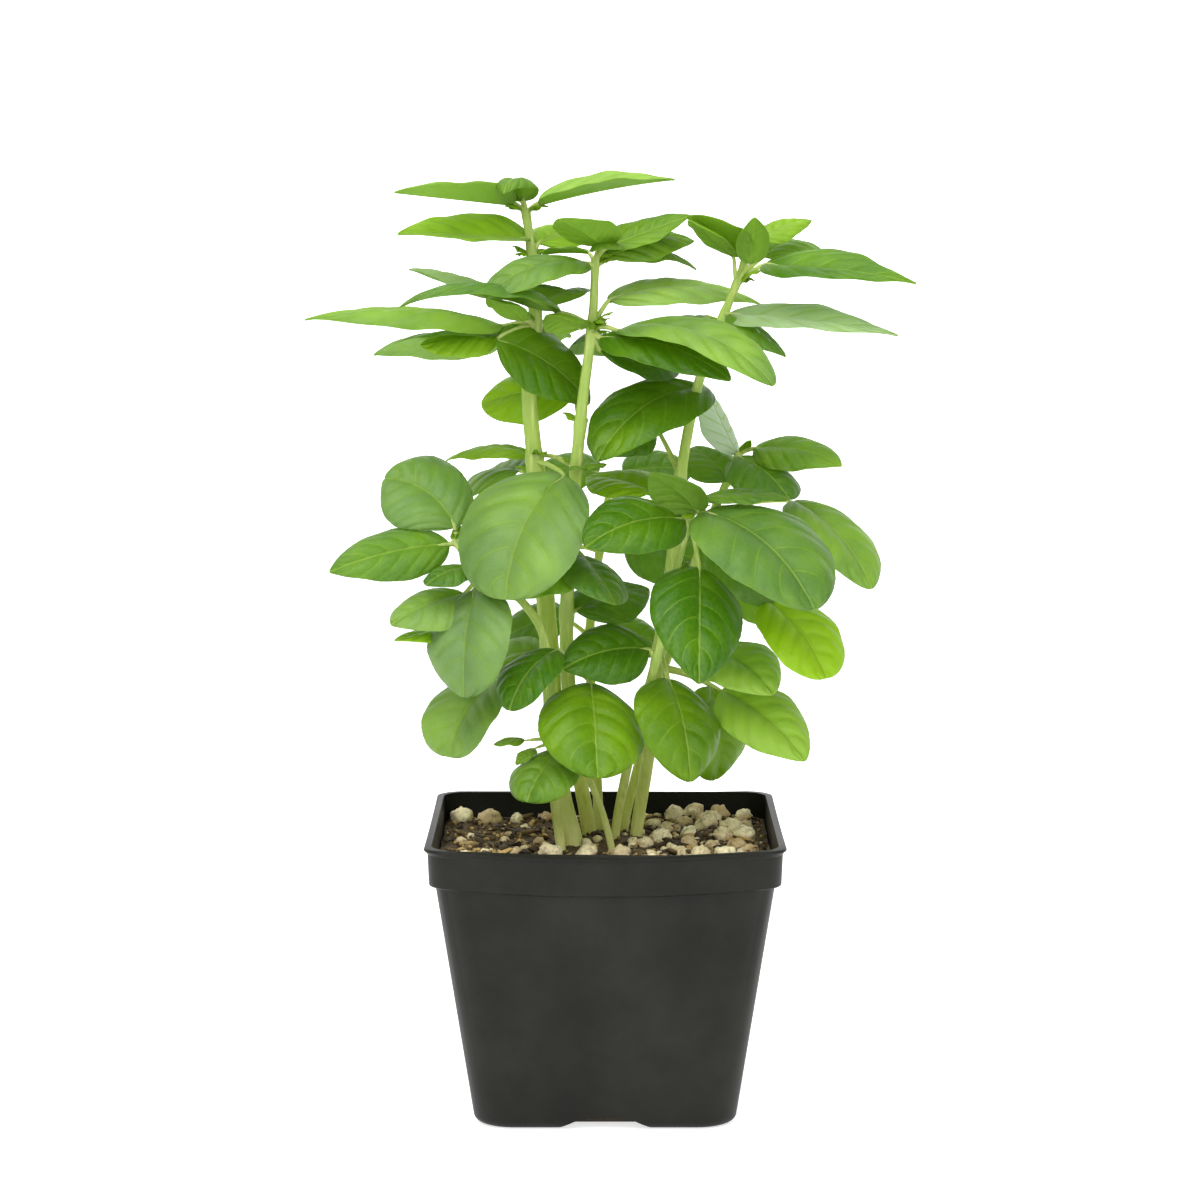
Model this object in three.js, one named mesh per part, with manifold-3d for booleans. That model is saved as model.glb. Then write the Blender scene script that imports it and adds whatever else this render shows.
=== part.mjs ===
// A basil plant in a square nursery pot. Millimetres, +Z up.
// The origin is on the ground, under the middle of the pot.
import * as THREE from "three";
import { mergeVertices } from "three/addons/utils/BufferGeometryUtils.js";
import Module from "manifold-3d";

const wasm = await Module();
wasm.setup();

// The pot: a thin square shell with a turned-out lip and a straight band under it.
const POT_HEIGHT = 90;
const LIP_HALF = 55.5;
const LIP_THICK = 1.2;
const BAND_HALF_TOP = 54.4;
const BAND_HALF_LOW = 54;
const BAND_HEIGHT = 12;
const BODY_HALF_TOP = 52.2;
const BODY_HALF_LOW = 41.2;
const BOTTOM_ROUND = 3;
const RIM_CORNER = 8.5;
const FOOT_CORNER = 12;
const WALL = 1.2;
const CORNER_STEPS = 4;
const SIDE_STEPS = 3;
const FRONT_DIP = 2.2;
const OTHER_DIP = 0.5;

// Two raised channels cross under the floor and leave four flat feet.
const CHANNEL_HALF = 14.5;
const CHANNEL_HEIGHT = 3.8;
const DRAIN_RADIUS = 4;
const DRAIN_OUT = 27;

// The potting mix fills the pot to a little under the rim.
const SOIL_TOP = 82;
const CLEAR = 0.4;
const LUMPS = 16;
const ROUND_STONE = 8;
const LUMP_SEED = 41;

// Stems and leaves.
const STEM_SIDES = 8;
const STALK_ROOT = 0.95;
const STALK_TIP = 0.7;
const BLADE_THICK = 0.65;
const BLADE_BULGE = 0.12;
const MARGIN_WAVE = 0.5;
const WIDE_STATIONS = [0.07, 0.24, 0.45, 0.66, 0.85, 1];
const SMALL_STATIONS = [0.12, 0.42, 0.76, 1];
const SMALL_LEAF = 24;
const MIDDLING_LEAF = 31;

// Each stem has its path from the soil up, its radius at the root and at the top, and its leaves.
// A leaf's numbers are: height on the stem, turn round it, stalk length, stalk lift, swing of the
// blade from the stalk, rise of the blade where it starts, length, width, droop of the whole blade,
// roll about its midrib, how far its margins curl down, and for some how blunt the tip is, up to 1.
// Turn 0 is +X and 90 is +Y. Angles are in degrees.
const STEMS = [
  {
    name: "left_tall_stem",
    path: [[-8, 1, 60], [-10, 1, 82], [-14, 3, 98], [-18, 7, 148], [-22, 7, 201],
      [-24, 7, 228], [-22, 8, 249], [-23, 8, 268], [-25, 8, 283]],
    radius: [3, 1.2],
    leaves: [
      [282, 195, 5, 40, 15, 5, 42, 20, 0, -10, -50],
      [282, -10, 5, 40, 5, 15, 44, 20, 10, -10, -45, -0.5],
      [283, 250, 3, 70, 0, 75, 22, 15, 135, 0, 40],
      [283, 160, 3, 65, 10, 60, 15, 12, 110, 0, 45],
      [268, 195, 6, 85, 0, 5, 43, 21, 5, 25, -35],
      [268, 30, 5, 65, 20, 30, 30, 20, 60, -15, 25],
      [252, 170, 11, 25, -15, 20, 35, 19, 15, -15, 35],
      [247, 200, 11, 0, 0, 15, 65, 26, 25, 5, 40],
      [247, 185, 11, -15, -5, 0, 26, 23, 15, 20, 30],
      [247, 220, 16, -15, 150, -15, 37, 29, 40, -45, 10],
      [245, 170, 12, -20, 5, 10, 41, 26, 30, -20, 20],
      [246, 85, 9, 10, 10, 0, 42, 26, 25, 0, 40],
      [204, 300, 19, -10, -70, -20, 49, 42, 65, 15, 5, 1],
      [199, 115, 12, 5, 0, 5, 38, 30, 30, 20, 30],
      [141, 190, 18, -20, 30, -20, 32, 31, 60, 5, -10, 1],
      [141, 125, 10, 5, 20, 0, 32, 26, 40, 30, 25],
      [252, 310, 2, 10, -5, 40, 21, 24, 50, 5, -10, 0.3],
      [246, 255, 12, 15, -15, 30, 24, 11, 25, -5, 25, 0.3],
    ],
  },
  {
    name: "middle_tall_stem",
    path: [[-4, 17, 60], [-5, 16, 82], [-9, 9, 108], [-12, 2, 140], [-12, -1, 161], [-11, -2, 177],
      [-9, -4, 203], [-7, -6, 224], [-4, -8, 248], [-3, -9, 268]],
    radius: [2.2, 1.1],
    leaves: [
      [266, 205, 3, 15, 10, 10, 40, 25, 50, 10, 15, 0.5],
      [267, 25, 5, 60, -15, 20, 30, 17, 0, -25, -10],
      [267, 145, 4, 50, 20, 5, 15, 14, 15, -5, -20],
      [268, 305, 7, 35, -70, 25, 26, 20, 10, -10, -10],
      [268, 290, 4, 60, 10, 25, 14, 12, 50, 0, 40],
      [266, 20, 5, 40, 10, 30, 33, 18, 45, -25, 35, 0.3],
      [266, 40, 9, 15, -5, 20, 33, 13, 55, -10, 40],
      [247, 195, 12, 25, 20, 30, 60, 23, 55, 0, 25],
      [248, 200, 4, -20, 20, 30, 15, 16, 25, -15, 40],
      [247, 330, 10, -5, -5, 15, 62, 28, 60, -10, 5, 0.9],
      [247, 25, 10, 55, -5, 20, 54, 24, 45, -15, 20],
      [245, 300, 6, -10, 30, 5, 48, 24, 40, -20, 15, 0.5],
      [244, 50, 6, -45, -20, -5, 30, 24, 20, -20, 30, 0.3],
      [244, 75, 10, 0, 5, 0, 42, 26, 25, 0, 40],
      [216, 95, 25, 20, 70, 10, 32, 23, 35, 45, 25, 1],
      [203, 125, 25, 5, 35, 20, 31, 16, 50, 5, 35],
      [203, 275, 2, -5, 5, 15, 8, 7, 20, 0, 30],
      [203, 0, 2, 10, -40, 15, 10, 8, 20, 0, 30],
      [168, 285, 13, 25, -80, -5, 30, 28, 25, 15, 15],
      [177, 300, 8, -10, -5, -15, 28, 26, 25, 15, 30],
      [156, 340, 3, 25, 55, 25, 30, 26, 30, -20, 30],
      [140, 260, 20, 20, -40, -15, 27, 23, 55, 5, 5, 0.7],
      [139, 295, 18, -10, -20, -30, 37, 35, 30, 10, 25, 0.5],
    ],
  },
  {
    name: "right_tall_stem",
    path: [[9, 16, 60], [10, 14, 82], [14, 10, 110], [17, 6, 143], [21, 2, 172], [24, -2, 202],
      [30, -4, 232], [38, -5, 253], [42, -5, 263], [44, -5, 269]],
    radius: [1.9, 1],
    leaves: [
      [260, 10, 11, 35, -45, 0, 55, 24, 10, -20, -10, -1],
      [260, 235, 9, 80, -10, 35, 23, 15, 10, 10, 10],
      [267, 250, 3, 30, -40, 45, 23, 23, 20, -5, -15],
      [267, 15, 8, 60, 20, 30, 23, 13, 30, -20, 30],
      [260, 45, 15, 35, 5, 30, 34, 17, 60, -10, 40],
      [249, 35, 3, 35, -65, 0, 59, 25, 10, -15, -5, -0.8],
      [251, 300, 3, 0, 30, -20, 24, 18, 25, 5, 40],
      [248, 120, 9, 10, 0, 0, 38, 24, 25, 0, 40],
      [224, 70, 12, 15, 150, 5, 52, 33, 60, 15, 10, 0.5],
      [223, 110, 6, 0, 30, 0, 26, 20, 30, 0, 30],
      [200, 140, 20, 55, 70, 0, 24, 25, 45, 25, 30],
      [199, 155, 10, -25, -10, 20, 26, 24, 25, 15, 15],
      [143, 280, 18, -20, 10, -30, 37, 32, 55, 15, 20, 0.2],
      [143, 330, 17, 5, -10, 5, 31, 27, 55, -20, 15],
      [139, 350, 22, -20, -25, -15, 38, 27, 35, -25, 15, 0.2],
      [138, 10, 19, -20, -75, -50, 32, 29, 70, 20, 5, 0.4],
      [261, 305, 9, 40, -35, 60, 23, 11, 40, -5, 35, 0.3],
    ],
  },
  {
    name: "left_low_stem",
    path: [[-13, -7, 62], [-14, -6, 82], [-16, -8, 99], [-19, -9, 149], [-25, -10, 160],
      [-38, -8, 171], [-48, -6, 180]],
    radius: [1.5, 0.9],
    leaves: [
      [179, 45, 5, 90, 110, 65, 31, 31, 70, 40, 20, 1],
      [179, 195, 2, 0, 10, 0, 41, 20, 20, 50, 30, 0.3],
      [179, 300, 10, -40, -75, 0, 18, 15, 30, 10, 30, 0.3],
      [170, 235, 8, -35, 20, -35, 37, 32, 65, -20, 15, 0.6],
      [170, 175, 10, -40, 40, -5, 28, 24, 25, 20, 35],
      [170, 170, 21, -55, 45, -5, 21, 14, 5, 5, 30],
    ],
  },
  {
    name: "right_front_stem",
    path: [[2, 8, 62], [3, 6, 82], [7, -2, 107], [16, -10, 143], [23, -16, 175], [27, -20, 191]],
    radius: [1.4, 0.9],
    leaves: [
      [190, 205, 3, -35, 10, 10, 39, 26, 40, 35, 15, 0.4],
      [190, 345, 4, 5, -25, -5, 53, 45, 55, -10, 5, 0.6],
      [190, 300, 4, 10, -85, 50, 23, 19, 30, -25, 30],
      [190, 25, 6, 45, -25, 15, 27, 15, 30, -10, 20],
      [188, 295, 16, -65, -25, -35, 44, 31, 25, 20, 20],
      [188, 40, 3, -25, -25, -35, 38, 29, 20, -45, 20, 0.3],
      [170, 10, 30, -15, -50, -25, 34, 30, 40, -10, 5, 0.9],
      [143, 200, 4, 55, 0, 10, 30, 24, 40, 45, 25],
    ],
  },
  {
    name: "right_back_stem",
    path: [[5, 24, 60], [6, 24, 82], [11, 26, 104], [20, 26, 139], [29, 24, 170], [38, 22, 194],
      [43, 20, 206]],
    radius: [1.5, 0.9],
    leaves: [
      [205, 320, 7, 20, 5, 10, 33, 21, 35, -25, 25],
      [205, 270, 7, 0, 40, -10, 27, 26, 35, -5, 30, 0.5],
      [205, 90, 4, -5, 60, 60, 26, 19, 0, 0, 40, 0.4],
      [186, 340, 27, 10, -20, -15, 42, 33, 50, 0, 10, 0.5],
      [188, 160, 10, 120, -30, 35, 20, 21, 10, 10, 20, 0.3],
      [162, 10, 12, 10, 0, -5, 34, 28, 40, -45, 25],
      [139, 45, 9, 20, 10, 5, 26, 22, 30, -30, 25],
    ],
  },
  {
    name: "back_stem",
    path: [[-2, 29, 60], [-2, 30, 82], [-3, 34, 105], [-5, 38, 144], [-2, 40, 170], [2, 40, 196]],
    radius: [1.6, 0.9],
    leaves: [
      [195, 20, 5, 30, -10, 15, 24, 22, 30, -40, 25],
      [195, 160, 5, 30, 0, 15, 26, 22, 40, 35, 25],
      [174, 345, 8, 10, 0, 0, 32, 26, 35, -45, 25],
      [172, 180, 8, 10, 5, 0, 34, 28, 40, 40, 25],
      [144, 15, 6, 10, 0, 5, 22, 20, 40, -40, 25],
      [144, 170, 10, 35, 0, 0, 26, 25, 45, 40, 25],
    ],
  },
  {
    name: "small_seedling",
    path: [[3, -3, 64], [2, -4, 82], [-6, -10, 107], [-13, -14, 118]],
    radius: [1.1, 0.8],
    leaves: [
      [117, 260, 4, -25, -25, -10, 25, 24, 50, 5, 30, 0.8],
      [117, 185, 13, 5, 0, 5, 10, 9, 25, 5, 20],
      [117, 205, 11, -5, 20, -15, 9, 7, 30, 0, 20],
    ],
  },
];

// Pale stones and bark that lie on top of the mix: x, y and size across.
const STONES = [
  [-48, 46, 7], [-38, 46, 8], [-29, 47, 5], [-19, 46, 4], [29, 46, 5], [38, 45, 5], [26, 42, 6],
  [33, 38, 7], [40, 32, 6], [46, 44, 5], [46, 16, 5], [20, 14, 4], [31, -18, 5], [38, -18, 4],
  [-39, -18, 6], [-14, -20, 5], [-22, -36, 6], [7, -24, 5], [17, -27, 5], [42, -40, 6], [-44, -42, 5],
];

const rad = THREE.MathUtils.degToRad;

// A closed solid from a list of corners and a list of triangles.
function solidOf(corners, faces) {
  const solid = new wasm.Manifold(new wasm.Mesh({
    numProp: 3,
    vertProperties: new Float32Array(corners.flatMap((p) => [p.x, p.y, p.z])),
    triVerts: new Uint32Array(faces.flat()),
  }));
  return solid;
}

// A closed solid from a geometry whose seams are merged first.
function solidOfGeometry(geometry) {
  geometry.deleteAttribute("normal");
  geometry.deleteAttribute("uv");
  const merged = mergeVertices(geometry, 1e-4);
  return new wasm.Manifold(new wasm.Mesh({
    numProp: 3,
    vertProperties: new Float32Array(merged.attributes.position.array),
    triVerts: new Uint32Array(merged.index.array),
  }));
}

// The largest body of a solid, without any crumb that a cut leaves.
function largest(solid) {
  const bodies = solid.decompose();
  bodies.sort((a, b) => b.volume() - a.volume());
  return bodies[0];
}

// A closed skin over rings of equally many points, with both ends capped.
function loft(rings) {
  const sides = rings[0].length;
  const corners = rings.flat();
  const faces = [];
  for (let i = 0; i + 1 < rings.length; i += 1) {
    for (let j = 0; j < sides; j += 1) {
      const k = (j + 1) % sides;
      const low = i * sides;
      const high = low + sides;
      faces.push([low + j, low + k, high + k], [low + j, high + k, high + j]);
    }
  }
  const ends = [rings[0], rings[rings.length - 1]].map((ring) =>
    ring.reduce((sum, p) => sum.add(p), new THREE.Vector3()).divideScalar(sides));
  const first = corners.length;
  const last = first + 1;
  corners.push(...ends);
  const top = (rings.length - 1) * sides;
  for (let j = 0; j < sides; j += 1) {
    const k = (j + 1) % sides;
    faces.push([first, k, j], [last, top + j, top + k]);
  }
  return solidOf(corners, faces);
}

// A level square ring with round corners.
function squareRing(half, corner, z) {
  const centre = half - corner;
  const arcs = [0, 1, 2, 3].map((quarter) => {
    const x = centre * (quarter === 0 || quarter === 3 ? 1 : -1);
    const y = centre * (quarter < 2 ? 1 : -1);
    const arc = [];
    for (let step = 0; step <= CORNER_STEPS; step += 1) {
      const angle = rad(90 * quarter + (90 * step) / CORNER_STEPS);
      arc.push(new THREE.Vector3(x + corner * Math.cos(angle), y + corner * Math.sin(angle), z));
    }
    return arc;
  });
  return arcs.flatMap((arc, quarter) => {
    const side = [];
    for (let step = 1; step < SIDE_STEPS; step += 1) {
      side.push(arc[CORNER_STEPS].clone().lerp(arcs[(quarter + 1) % 4][0], step / SIDE_STEPS));
    }
    return [...arc, ...side];
  });
}

// A square ring near the rim: the thin wall lets each side dip between its corners, the front most.
function rimRing(half, corner, z) {
  const bow = (v) => Math.max(1 - (v / (LIP_HALF - RIM_CORNER)) ** 2, 0);
  return squareRing(half, corner, z).map((p) =>
    p.setZ(z - bow(p.x) * (p.y < 0 ? FRONT_DIP : OTHER_DIP) - bow(p.y) * OTHER_DIP));
}

// The rings of the pot's inside, drawn in by a margin, from the floor up to a height.
function insideRings(margin, topZ) {
  const low = WALL + margin;
  const bandZ = POT_HEIGHT - BAND_HEIGHT;
  const flare = (BAND_HALF_TOP - BAND_HALF_LOW) * ((topZ - bandZ - 1) / BAND_HEIGHT);
  return [
    squareRing(BODY_HALF_LOW - 2 * WALL - margin, FOOT_CORNER - WALL, low),
    squareRing(BODY_HALF_LOW - WALL - margin, FOOT_CORNER - WALL, BOTTOM_ROUND + low),
    rimRing(BODY_HALF_TOP - WALL - margin, RIM_CORNER, bandZ - 1),
    rimRing(BAND_HALF_LOW - WALL - margin, RIM_CORNER - 0.6, bandZ + 1),
    rimRing(BAND_HALF_LOW - WALL - margin + flare, RIM_CORNER - 0.6, topZ),
  ];
}

// The stepped arch of the two crossing channels, grown by a margin.
function channels(margin) {
  const half = CHANNEL_HALF + 1.4 * margin;
  const top = CHANNEL_HEIGHT + margin;
  const arch = new THREE.Shape([
    new THREE.Vector2(-half, -2),
    new THREE.Vector2(half, -2),
    new THREE.Vector2(half, Math.max(margin, 0)),
    new THREE.Vector2(half * 0.62, top * 0.7),
    new THREE.Vector2(half * 0.35, top),
    new THREE.Vector2(-half * 0.35, top),
    new THREE.Vector2(-half * 0.62, top * 0.7),
    new THREE.Vector2(-half, Math.max(margin, 0)),
  ]);
  const bar = new THREE.ExtrudeGeometry(arch, { depth: 130, bevelEnabled: false });
  bar.rotateX(Math.PI / 2);
  bar.translate(0, 65, 0);
  const across = bar.clone().rotateZ(Math.PI / 2);
  return solidOfGeometry(bar).add(solidOfGeometry(across));
}

function makePot() {
  const bandZ = POT_HEIGHT - BAND_HEIGHT;
  let pot = loft([
    squareRing(BODY_HALF_LOW - BOTTOM_ROUND, FOOT_CORNER - 2, 0),
    squareRing(BODY_HALF_LOW - 0.9, FOOT_CORNER - 0.6, 0.9),
    squareRing(BODY_HALF_LOW, FOOT_CORNER, BOTTOM_ROUND),
    rimRing(BODY_HALF_TOP, RIM_CORNER + 0.8, bandZ - 0.6),
    rimRing(BAND_HALF_LOW, RIM_CORNER, bandZ),
    rimRing(BAND_HALF_TOP, RIM_CORNER, POT_HEIGHT - LIP_THICK - 0.6),
    rimRing(LIP_HALF, RIM_CORNER, POT_HEIGHT - LIP_THICK),
    rimRing(LIP_HALF, RIM_CORNER, POT_HEIGHT),
  ]);
  pot = pot.subtract(loft(insideRings(0, POT_HEIGHT + 1)).subtract(channels(WALL)));
  pot = pot.subtract(channels(0));
  const drains = [[0, 0], [DRAIN_OUT, 0], [-DRAIN_OUT, 0], [0, DRAIN_OUT], [0, -DRAIN_OUT]];
  for (const [x, y] of drains) {
    const hole = new THREE.CylinderGeometry(DRAIN_RADIUS, DRAIN_RADIUS, 12, 16);
    hole.rotateX(Math.PI / 2);
    hole.translate(x, y, 2);
    pot = pot.subtract(solidOfGeometry(hole));
  }
  return pot;
}

// The line that a stem follows, as points close enough to read a height from.
function stemLine(stem) {
  const curve = new THREE.CatmullRomCurve3(stem.path.map((p) => new THREE.Vector3(...p)));
  return curve;
}

// The rings of a stem: square with soft corners, as in the mint family. A margin widens it.
function stemRings(stem, margin) {
  const curve = stemLine(stem);
  const [root, tip] = stem.radius;
  const count = stem.path.length;
  const rings = [];
  for (let i = 0; i <= count; i += 1) {
    const t = i / count;
    const centre = curve.getPointAt(t);
    const along = curve.getTangentAt(t);
    const side = new THREE.Vector3(1, 0, 0).addScaledVector(along, -along.x).normalize();
    const back = new THREE.Vector3().crossVectors(along, side);
    const radius = root + (tip - root) * t ** 3 + margin;
    if (margin > 0 && i === 0) {
      centre.addScaledVector(along, -margin);
    }
    const ring = [];
    for (let j = 0; j < STEM_SIDES; j += 1) {
      const angle = (2 * Math.PI * (j + 0.5)) / STEM_SIDES;
      const reach = radius * (j % 2 === 0 ? 1.04 : 0.98);
      ring.push(centre.clone()
        .addScaledVector(side, reach * Math.cos(angle))
        .addScaledVector(back, reach * Math.sin(angle)));
    }
    rings.push(ring);
  }
  return rings;
}

// The point of a stem's line at a height.
function pointAtHeight(curve, z) {
  let low = 0;
  let high = 1;
  for (let i = 0; i < 24; i += 1) {
    const middle = (low + high) / 2;
    if (curve.getPointAt(middle).z < z) {
      low = middle;
    } else {
      high = middle;
    }
  }
  return curve.getPointAt(low);
}

// A leaf's own directions: outward, to the right and up, with the blade's turn and no rise yet.
function heading(turn) {
  const angle = rad(turn);
  return {
    out: new THREE.Vector3(Math.cos(angle), Math.sin(angle), 0),
    right: new THREE.Vector3(Math.sin(angle), -Math.cos(angle), 0),
  };
}

// A direction that points along a heading and lifts by some degrees.
function lifted(out, degrees) {
  const angle = rad(degrees);
  return out.clone().multiplyScalar(Math.cos(angle)).add(new THREE.Vector3(0, 0, Math.sin(angle)));
}

// A point of the midrib: the blade bends evenly from its rise down through its droop.
function midrib(leaf, base, out, s) {
  const start = rad(leaf.rise);
  const bend = rad(leaf.droop);
  let ahead = Math.cos(start) * s;
  let above = Math.sin(start) * s;
  if (Math.abs(bend) > 1e-3) {
    ahead = (Math.sin(start) - Math.sin(start - bend * s)) / bend;
    above = (Math.cos(start - bend * s) - Math.cos(start)) / bend;
  }
  return base.clone().addScaledVector(out, leaf.long * ahead)
    .add(new THREE.Vector3(0, 0, leaf.long * above));
}

// Half the blade's width along the midrib. Narrow leaves are pointed, and a blunt one is round.
function halfWidth(leaf, s) {
  const root = 0.52;
  const tip = 1.15 - 0.45 * (leaf.wide / leaf.long) - 0.3 * leaf.blunt;
  const most = (root / (root + tip)) ** root * (tip / (root + tip)) ** tip;
  return ((leaf.wide / 2) * s ** root * (1 - s) ** tip) / most;
}

// A row of points across the blade on one face: face is 1 above and -1 below.
function bladeRow(leaf, base, s, columns, face) {
  const { out, right } = heading(leaf.turn + leaf.swing);
  const centre = midrib(leaf, base, out, s);
  const slope = rad(leaf.rise - leaf.droop * s);
  const up = out.clone().multiplyScalar(-Math.sin(slope))
    .add(new THREE.Vector3(0, 0, Math.cos(slope)));
  const roll = rad(leaf.roll);
  const side = right.clone().multiplyScalar(Math.cos(roll)).addScaledVector(up, Math.sin(roll));
  const normal = up.multiplyScalar(Math.cos(roll)).addScaledVector(right, -Math.sin(roll));
  const half = halfWidth(leaf, s);
  const cup = rad(leaf.cup);
  return columns.map((c) => {
    const across = (half * Math.sin(cup * c)) / cup;
    const fall = (half * (1 - Math.cos(cup * c))) / cup;
    const bulge = BLADE_BULGE * half * Math.sin(Math.PI * Math.abs(c));
    const wave = MARGIN_WAVE * c * c * Math.sin(9 * s + leaf.turn) * Math.sin(Math.PI * s);
    const lift = bulge + wave - fall;
    return centre.clone()
      .addScaledVector(side, across + face * (BLADE_THICK / 2) * Math.sin(cup * c))
      .addScaledVector(normal, lift + face * (BLADE_THICK / 2) * Math.cos(cup * c));
  });
}

// The rings of a stalk: diamonds that run from inside the stem to where the blade starts.
function stalkRings(leaf, root, base) {
  const { out } = heading(leaf.turn + leaf.swing);
  const middle = root.clone().lerp(base, 0.55);
  middle.z += 0.06 * leaf.stalk;
  const line = new THREE.CatmullRomCurve3([root, middle, base, midrib(leaf, base, out, 0.1)]);
  const girth = leaf.long < SMALL_LEAF ? 0.8 : 1;
  return [0, 1, 2].map((i) => {
    const centre = line.getPoint(i / 3);
    const along = line.getTangent(i / 3);
    const level = new THREE.Vector3(along.y, -along.x, 0).normalize();
    const above = new THREE.Vector3().crossVectors(level, along);
    const radius = girth * (STALK_ROOT + ((STALK_TIP - STALK_ROOT) * i) / 2);
    return [[1, above], [1, level], [-1, above], [-1, level]].map(([sign, way]) =>
      centre.clone().addScaledVector(way, sign * radius));
  });
}

// A leaf: its stalk opens into the blade, whose two faces are split alike into triangles and meet
// in a thin margin all round.
function makeLeaf(leaf, root, base) {
  const small = leaf.long < SMALL_LEAF;
  const stations = small ? SMALL_STATIONS : WIDE_STATIONS;
  const columns = leaf.long < MIDDLING_LEAF ? [-1, 0, 1] : [-1, -0.5, 0, 0.5, 1];
  const rings = stalkRings(leaf, root, base);
  const corners = rings.flat();
  const faces = [];
  const starts = { 1: [], [-1]: [] };
  for (const face of [1, -1]) {
    stations.forEach((s) => {
      starts[face].push(corners.length);
      corners.push(...bladeRow(leaf, base, Math.min(s, 0.999), s === 1 ? [0] : columns, face));
    });
  }
  faces.push([0, 2, 1], [0, 3, 2]);
  for (let i = 0; i < 2; i += 1) {
    for (let j = 0; j < 4; j += 1) {
      const k = (j + 1) % 4;
      faces.push([4 * i + j, 4 * i + k, 4 * i + 4 + k], [4 * i + j, 4 * i + 4 + k, 4 * i + 4 + j]);
    }
  }
  const last = stations.length - 1;
  const edge = columns.length - 1;
  const above = (i, c) => starts[1][i] + (i === last ? 0 : c);
  const below = (i, c) => starts[-1][i] + (i === last ? 0 : c);
  const [up, right, down, left] = [8, 9, 10, 11];
  faces.push([up, right, above(0, edge)], [right, below(0, edge), above(0, edge)]);
  faces.push([right, down, below(0, edge)], [up, above(0, 0), left]);
  faces.push([left, above(0, 0), below(0, 0)], [left, below(0, 0), down]);
  for (let c = 0; c < edge; c += 1) {
    faces.push([up, above(0, c + 1), above(0, c)], [down, below(0, c), below(0, c + 1)]);
    for (let i = 0; i < last; i += 1) {
      faces.push([above(i, c), above(i, c + 1), above(i + 1, c)]);
      faces.push([below(i, c), below(i + 1, c), below(i, c + 1)]);
      if (i + 1 < last) {
        faces.push([above(i, c + 1), above(i + 1, c + 1), above(i + 1, c)]);
        faces.push([below(i, c + 1), below(i + 1, c), below(i + 1, c + 1)]);
      }
    }
  }
  for (let i = 0; i < last; i += 1) {
    faces.push([above(i, edge), below(i, edge), below(i + 1, edge)]);
    faces.push([above(i, edge), below(i + 1, edge), above(i + 1, edge)]);
    faces.push([above(i, 0), below(i + 1, 0), below(i, 0)]);
    faces.push([above(i, 0), above(i + 1, 0), below(i + 1, 0)]);
  }
  return solidOf(corners, faces);
}

function makeStem(stem) {
  const curve = stemLine(stem);
  const pieces = [loft(stemRings(stem, 0))];
  for (const row of stem.leaves) {
    const [height, turn, stalk, lift, swing, rise, long, wide, droop, roll, cup, blunt = 0] = row;
    const leaf = { turn, stalk, swing, rise, long, wide, droop, roll, cup, blunt };
    const root = pointAtHeight(curve, height);
    const base = root.clone().addScaledVector(lifted(heading(turn).out, lift), stalk);
    pieces.push(makeLeaf(leaf, root, base));
  }
  return largest(wasm.Manifold.union(pieces));
}

// The mix, with its stones, cut back from the pot's wall and from every stem.
function makeSoil() {
  let seed = LUMP_SEED;
  const random = () => {
    seed = (seed * 16807) % 2147483647;
    return seed / 2147483647;
  };
  const surface = [
    [40, SOIL_TOP + 0.3],
    [22, SOIL_TOP - 0.4],
    [7, SOIL_TOP + 0.6],
  ].map(([half, z]) => squareRing(half, RIM_CORNER - 2, z));
  const mix = loft([...insideRings(CLEAR, SOIL_TOP - 1), ...surface]);
  const lumps = [mix.subtract(channels(WALL + CLEAR))];
  const placed = [...STONES];
  for (let i = 0; i < LUMPS; i += 1) {
    placed.push([92 * random() - 46, 92 * random() - 46, 3 + 3 * random()]);
  }
  placed.forEach(([x, y, size]) => {
    const lump = new THREE.IcosahedronGeometry(size / 2, size >= ROUND_STONE ? 1 : 0);
    lump.scale(1, 0.75, 0.62);
    lump.rotateZ(6.28 * random());
    lump.translate(x, y, SOIL_TOP + 0.12 * size);
    lumps.push(solidOfGeometry(lump));
  });
  let soil = wasm.Manifold.union(lumps);
  for (const stem of STEMS) {
    soil = soil.subtract(loft(stemRings(stem, CLEAR)));
  }
  return largest(soil);
}

const plant = new THREE.Group();

function place(name, solid, colour, roughness) {
  const { vertProperties, triVerts } = solid.getMesh();
  const geometry = new THREE.BufferGeometry();
  geometry.setAttribute("position", new THREE.BufferAttribute(vertProperties, 3));
  geometry.setIndex(new THREE.BufferAttribute(triVerts, 1));
  geometry.computeVertexNormals();
  const material = new THREE.MeshStandardMaterial({ color: colour, roughness, metalness: 0 });
  const mesh = new THREE.Mesh(geometry, material);
  mesh.name = name;
  plant.add(mesh);
}

place("pot", makePot(), 0x252423, 0.45);
place("soil", makeSoil(), 0x46362a, 0.95);
for (const stem of STEMS) {
  place(stem.name, makeStem(stem), 0x7da03a, 0.5);
}

export default plant;
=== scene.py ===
"""A basil plant in a black nursery pot, dressed for its photograph.

The frame gives the plain solids. Every one of them is replaced here by a finer mesh of the same
form: the moulded pot, the potting mix with its stones, and each leafy stem with its leaves.
Sizes in the classes are millimetres, in the frame's own axes.
"""
from __future__ import annotations

import logging
import math
import random
from dataclasses import dataclass, field
from enum import Enum
from typing import Any, NamedTuple, Sequence

import bmesh
import bpy
import numpy as np
from mathutils import Euler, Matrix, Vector, noise

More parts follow.
